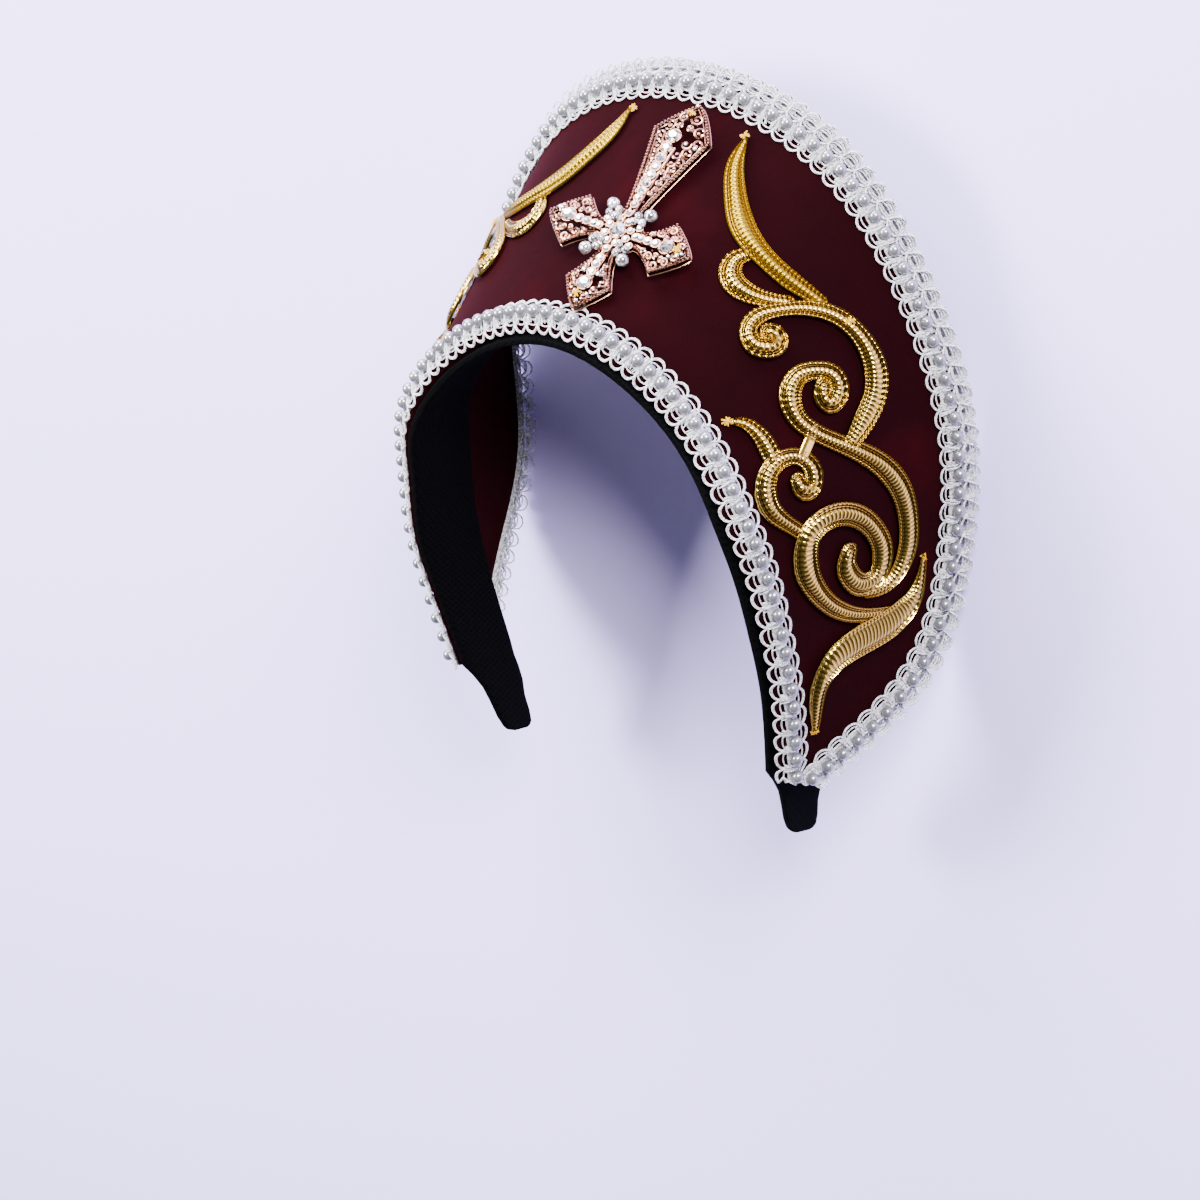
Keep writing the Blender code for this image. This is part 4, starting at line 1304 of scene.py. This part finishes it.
def build_brooch(rose_gold, crystal, bead, sizes):
    metal = bmesh.new()
    metal.verts.layers.float.new("relief_shade")
    brooch_wall(metal)
    brooch_curls(metal, sizes)
    brooch_rails(metal)
    random_source = random.Random(sizes.seed)
    for place, radius in strewn(GRAINS, random_source):
        balls(metal, on_dome(place, -CURL_DROP), radius, 6, 4)
    stone_settings(metal)
    # Painted shade: wires and grains get a middle relief shade, the border beads the full colour
    raise_relief_shade(metal, WIRE_RELIEF_SHADE)
    border_beads(metal)
    raise_relief_shade(metal, 1.0)
    stones = bmesh.new()
    for place, radius in stone_places() + strewn(CHIPS, random_source):
        add_stone(stones, place, radius, random_source)
    beads = bmesh.new()
    for bearing in CORNER_BEARINGS:
        for out, side, radius, height in CORNER_BEADS:
            balls(beads, on_brooch(polar(bearing, out, side), height), radius, 16, 10)
    add_piece("brooch_filigree", metal, rose_gold, "rose_gold", "brooch")
    add_piece("brooch_stones", stones, crystal, "rose_gold", flat=True)
    add_piece("brooch_beads", beads, bead, "rose_gold")


def tack(bm, centre, across, along, up, random_source, radius):
    """A few strands of thread that cross at one place."""
    paths = []
    for _ in range(TACK_THREADS):
        angle = random_source.uniform(0, math.pi)
        half = TACK_LENGTH / 2 * random_source.uniform(*TACK_SHARE)
        direction = across * math.cos(angle) + along * math.sin(angle)
        lift = random_source.uniform(*TACK_LIFT) * (1 - TACK_REACH ** 2)
        paths.append(centre + direction * half * TACK_REACH + up * lift)
    cords(bm, paths, radius)


def build_tacks(material, sizes):
    random_source = random.Random(sizes.seed)
    radius = sizes.tack_thread / MM
    bm = bmesh.new()
    for along, across, height in SCROLL_TACKS:
        for side in (-1, 1):
            place = (side * along / 100, across / 100)
            _, outward, _, normal = face_frame(*place)
            centre = face(*place, GAP + height)[0]
            sideways = np.cross(normal[0], outward[0])
            tack(bm, centre, outward[0], sideways, normal[0], random_source, radius)
    for place in BROOCH_TACKS:
        tack(bm, on_dome(place, 0.3)[0], *BROOCH_AXES, random_source, radius)
    add_piece("thread_tacks", bm, material, "gilt")


def camera_axes():
    """Right, up and back of the photographed view, in the resting pose."""
    bearing, height = math.radians(CAMERA_BEARING), math.radians(CAMERA_HEIGHT)
    right = np.array((math.cos(bearing), math.sin(bearing), 0.0))
    ahead = np.array((-math.sin(bearing), math.cos(bearing), 0.0))
    back = np.array((0.0, 0.0, math.sin(height))) - ahead * math.cos(height)
    up = np.cross(back, right)
    aim = np.array(CAMERA_AIM) + right * CAMERA_AIM_RIGHT + up * CAMERA_AIM_UP
    return [REST_ROTATION @ axis for axis in (right, up, back)] + [to_world(aim)]


def add_camera():
    right, up, back, aim = camera_axes()
    data = bpy.data.cameras.new("camera")
    data.sensor_width = SENSOR_MM
    data.lens = SENSOR_MM * PIXELS_PER_MM * CAMERA_DISTANCE / IMAGE_PIXELS
    camera = bpy.data.objects.new("camera", data)
    bpy.context.scene.collection.objects.link(camera)
    matrix = Matrix(np.column_stack([right, up, back]).tolist()).to_4x4()
    matrix.translation = Vector(aim + back * CAMERA_DISTANCE * MM)
    camera.matrix_world = matrix
    bpy.context.scene.camera = camera


def add_light(name, place, size, power, colour):
    """Square soft light that faces the hood from a place in the photographed view."""
    right, up, back, _ = camera_axes()
    data = bpy.data.lights.new(name, "AREA")
    data.size = size
    data.energy = power
    data.color = colour
    light = bpy.data.objects.new(name, data)
    bpy.context.scene.collection.objects.link(light)
    centre = to_world(CAMERA_AIM)
    spot = centre + right * place[0] + up * place[1] + back * place[2]
    light.location = Vector(spot)
    light.rotation_mode = "QUATERNION"
    light.rotation_quaternion = Vector(spot - centre).to_track_quat("Z", "Y")


def build_stage(material, key_power):
    bm = bmesh.new()
    bmesh.ops.create_grid(bm, x_segments=1, y_segments=1, size=FLOOR_HALF)
    mesh = bpy.data.meshes.new("floor")
    bm.to_mesh(mesh)
    bm.free()
    mesh.materials.append(material)
    floor = bpy.data.objects.new("floor", mesh)
    bpy.context.scene.collection.objects.link(floor)
    world = bpy.data.worlds.new("studio")
    world.use_nodes = True
    background = world.node_tree.nodes["Background"]
    background.inputs["Color"].default_value = (*linear_rgb(WORLD_COLOUR), 1.0)
    background.inputs["Strength"].default_value = WORLD_STRENGTH
    bpy.context.scene.world = world
    for name, place, size, share, colour in LIGHTS:
        add_light(name, place, size, key_power * share, linear_rgb(colour))
    add_camera()


class HoodOperator:
    """What the hood's operators share."""
    bl_options = {"REGISTER", "UNDO"}

    @staticmethod
    def values(context):
        return context.scene.hood_sizes, context.scene.hood_colours


class HOOD_OT_crescent(HoodOperator, bpy.types.Operator):
    """Build the stiff velvet crescent"""
    bl_idname = "hood.crescent"
    bl_label = "Crescent"

    def execute(self, context):
        build_crescent(velvet_material(self.values(context)[1]))
        return {"FINISHED"}


class HOOD_OT_headband(HoodOperator, bpy.types.Operator):
    """Build the black band inside the crescent"""
    bl_idname = "hood.headband"
    bl_label = "Headband"

    def execute(self, context):
        build_headband(cloth_material(self.values(context)[1]))
        return {"FINISHED"}


class HOOD_OT_gimp(HoodOperator, bpy.types.Operator):
    """Build the three strips of looped gimp with their strings of pearls"""
    bl_idname = "hood.gimp"
    bl_label = "Gimp and pearls"

    def execute(self, context):
        sizes, colours = self.values(context)
        thread, pearl = thread_material(colours), pearl_material(colours)
        strips = {
            "inner": (face_strip(False), INNER_PITCH), "outer": (face_strip(True), OUTER_PITCH),
            "rim": (rim_strip(), OUTER_PITCH),
        }
        for name, (strip, shares) in strips.items():
            build_gimp(f"{name}_gimp", strip, shares, f"{name}_lace", thread, sizes)
            build_pearls(f"{name}_pearl_beads", strip, shares, f"{name}_pearls", pearl, sizes)
        build_rim_net(*strips["rim"], thread, sizes)
        return {"FINISHED"}


class HOOD_OT_appliques(HoodOperator, bpy.types.Operator):
    """Build the gilt scrolls of both sides"""
    bl_idname = "hood.appliques"
    bl_label = "Gilt scrolls"

    def execute(self, context):
        sizes, colours = self.values(context)
        build_appliques(gilt_material(colours), sizes)
        return {"FINISHED"}


class HOOD_OT_brooch(HoodOperator, bpy.types.Operator):
    """Build the filigree cross with its stones and beads"""
    bl_idname = "hood.brooch"
    bl_label = "Cross brooch"

    def execute(self, context):
        sizes, colours = self.values(context)
        finishes = rose_gold_material(colours), crystal_material(colours), bead_material(colours)
        build_brooch(*finishes, sizes)
        return {"FINISHED"}


class HOOD_OT_tacks(HoodOperator, bpy.types.Operator):
    """Build the tacks of thread that hold the metal"""
    bl_idname = "hood.tacks"
    bl_label = "Thread tacks"

    def execute(self, context):
        sizes, colours = self.values(context)
        build_tacks(tack_material(colours), sizes)
        return {"FINISHED"}


class HOOD_OT_stage(HoodOperator, bpy.types.Operator):
    """Build the floor, the soft lights and the camera"""
    bl_idname = "hood.stage"
    bl_label = "Stage"

    def execute(self, context):
        sizes, colours = self.values(context)
        build_stage(floor_material(colours), sizes.key_power)
        return {"FINISHED"}


OPERATORS = (
    HOOD_OT_crescent, HOOD_OT_headband, HOOD_OT_gimp, HOOD_OT_appliques, HOOD_OT_brooch,
    HOOD_OT_tacks, HOOD_OT_stage,
)


class HOOD_PT_panel(bpy.types.Panel):
    """Sidebar panel that lists the hood's operators, sizes and colours"""
    bl_idname = "HOOD_PT_panel"
    bl_label = "French hood"
    bl_space_type = "VIEW_3D"
    bl_region_type = "UI"
    bl_category = "French hood"

    def draw(self, context):
        for group in (context.scene.hood_sizes, context.scene.hood_colours):
            for name in group.__annotations__:
                self.layout.prop(group, name)
        for operator in OPERATORS:
            self.layout.operator(operator.bl_idname)


CLASSES = (HoodSizes, HoodColours, *OPERATORS, HOOD_PT_panel)


def register():
    for item in CLASSES:
        bpy.utils.register_class(item)
    bpy.types.Scene.hood_sizes = PointerProperty(type=HoodSizes)
    bpy.types.Scene.hood_colours = PointerProperty(type=HoodColours)


def unregister():
    del bpy.types.Scene.hood_colours
    del bpy.types.Scene.hood_sizes
    for item in reversed(CLASSES):
        bpy.utils.unregister_class(item)


def main():
    register()
    bpy.ops.hood.crescent()
    bpy.ops.hood.headband()
    bpy.ops.hood.gimp()
    bpy.ops.hood.appliques()
    bpy.ops.hood.brooch()
    bpy.ops.hood.tacks()
    bpy.ops.hood.stage()


if __name__ == "__main__":
    main()
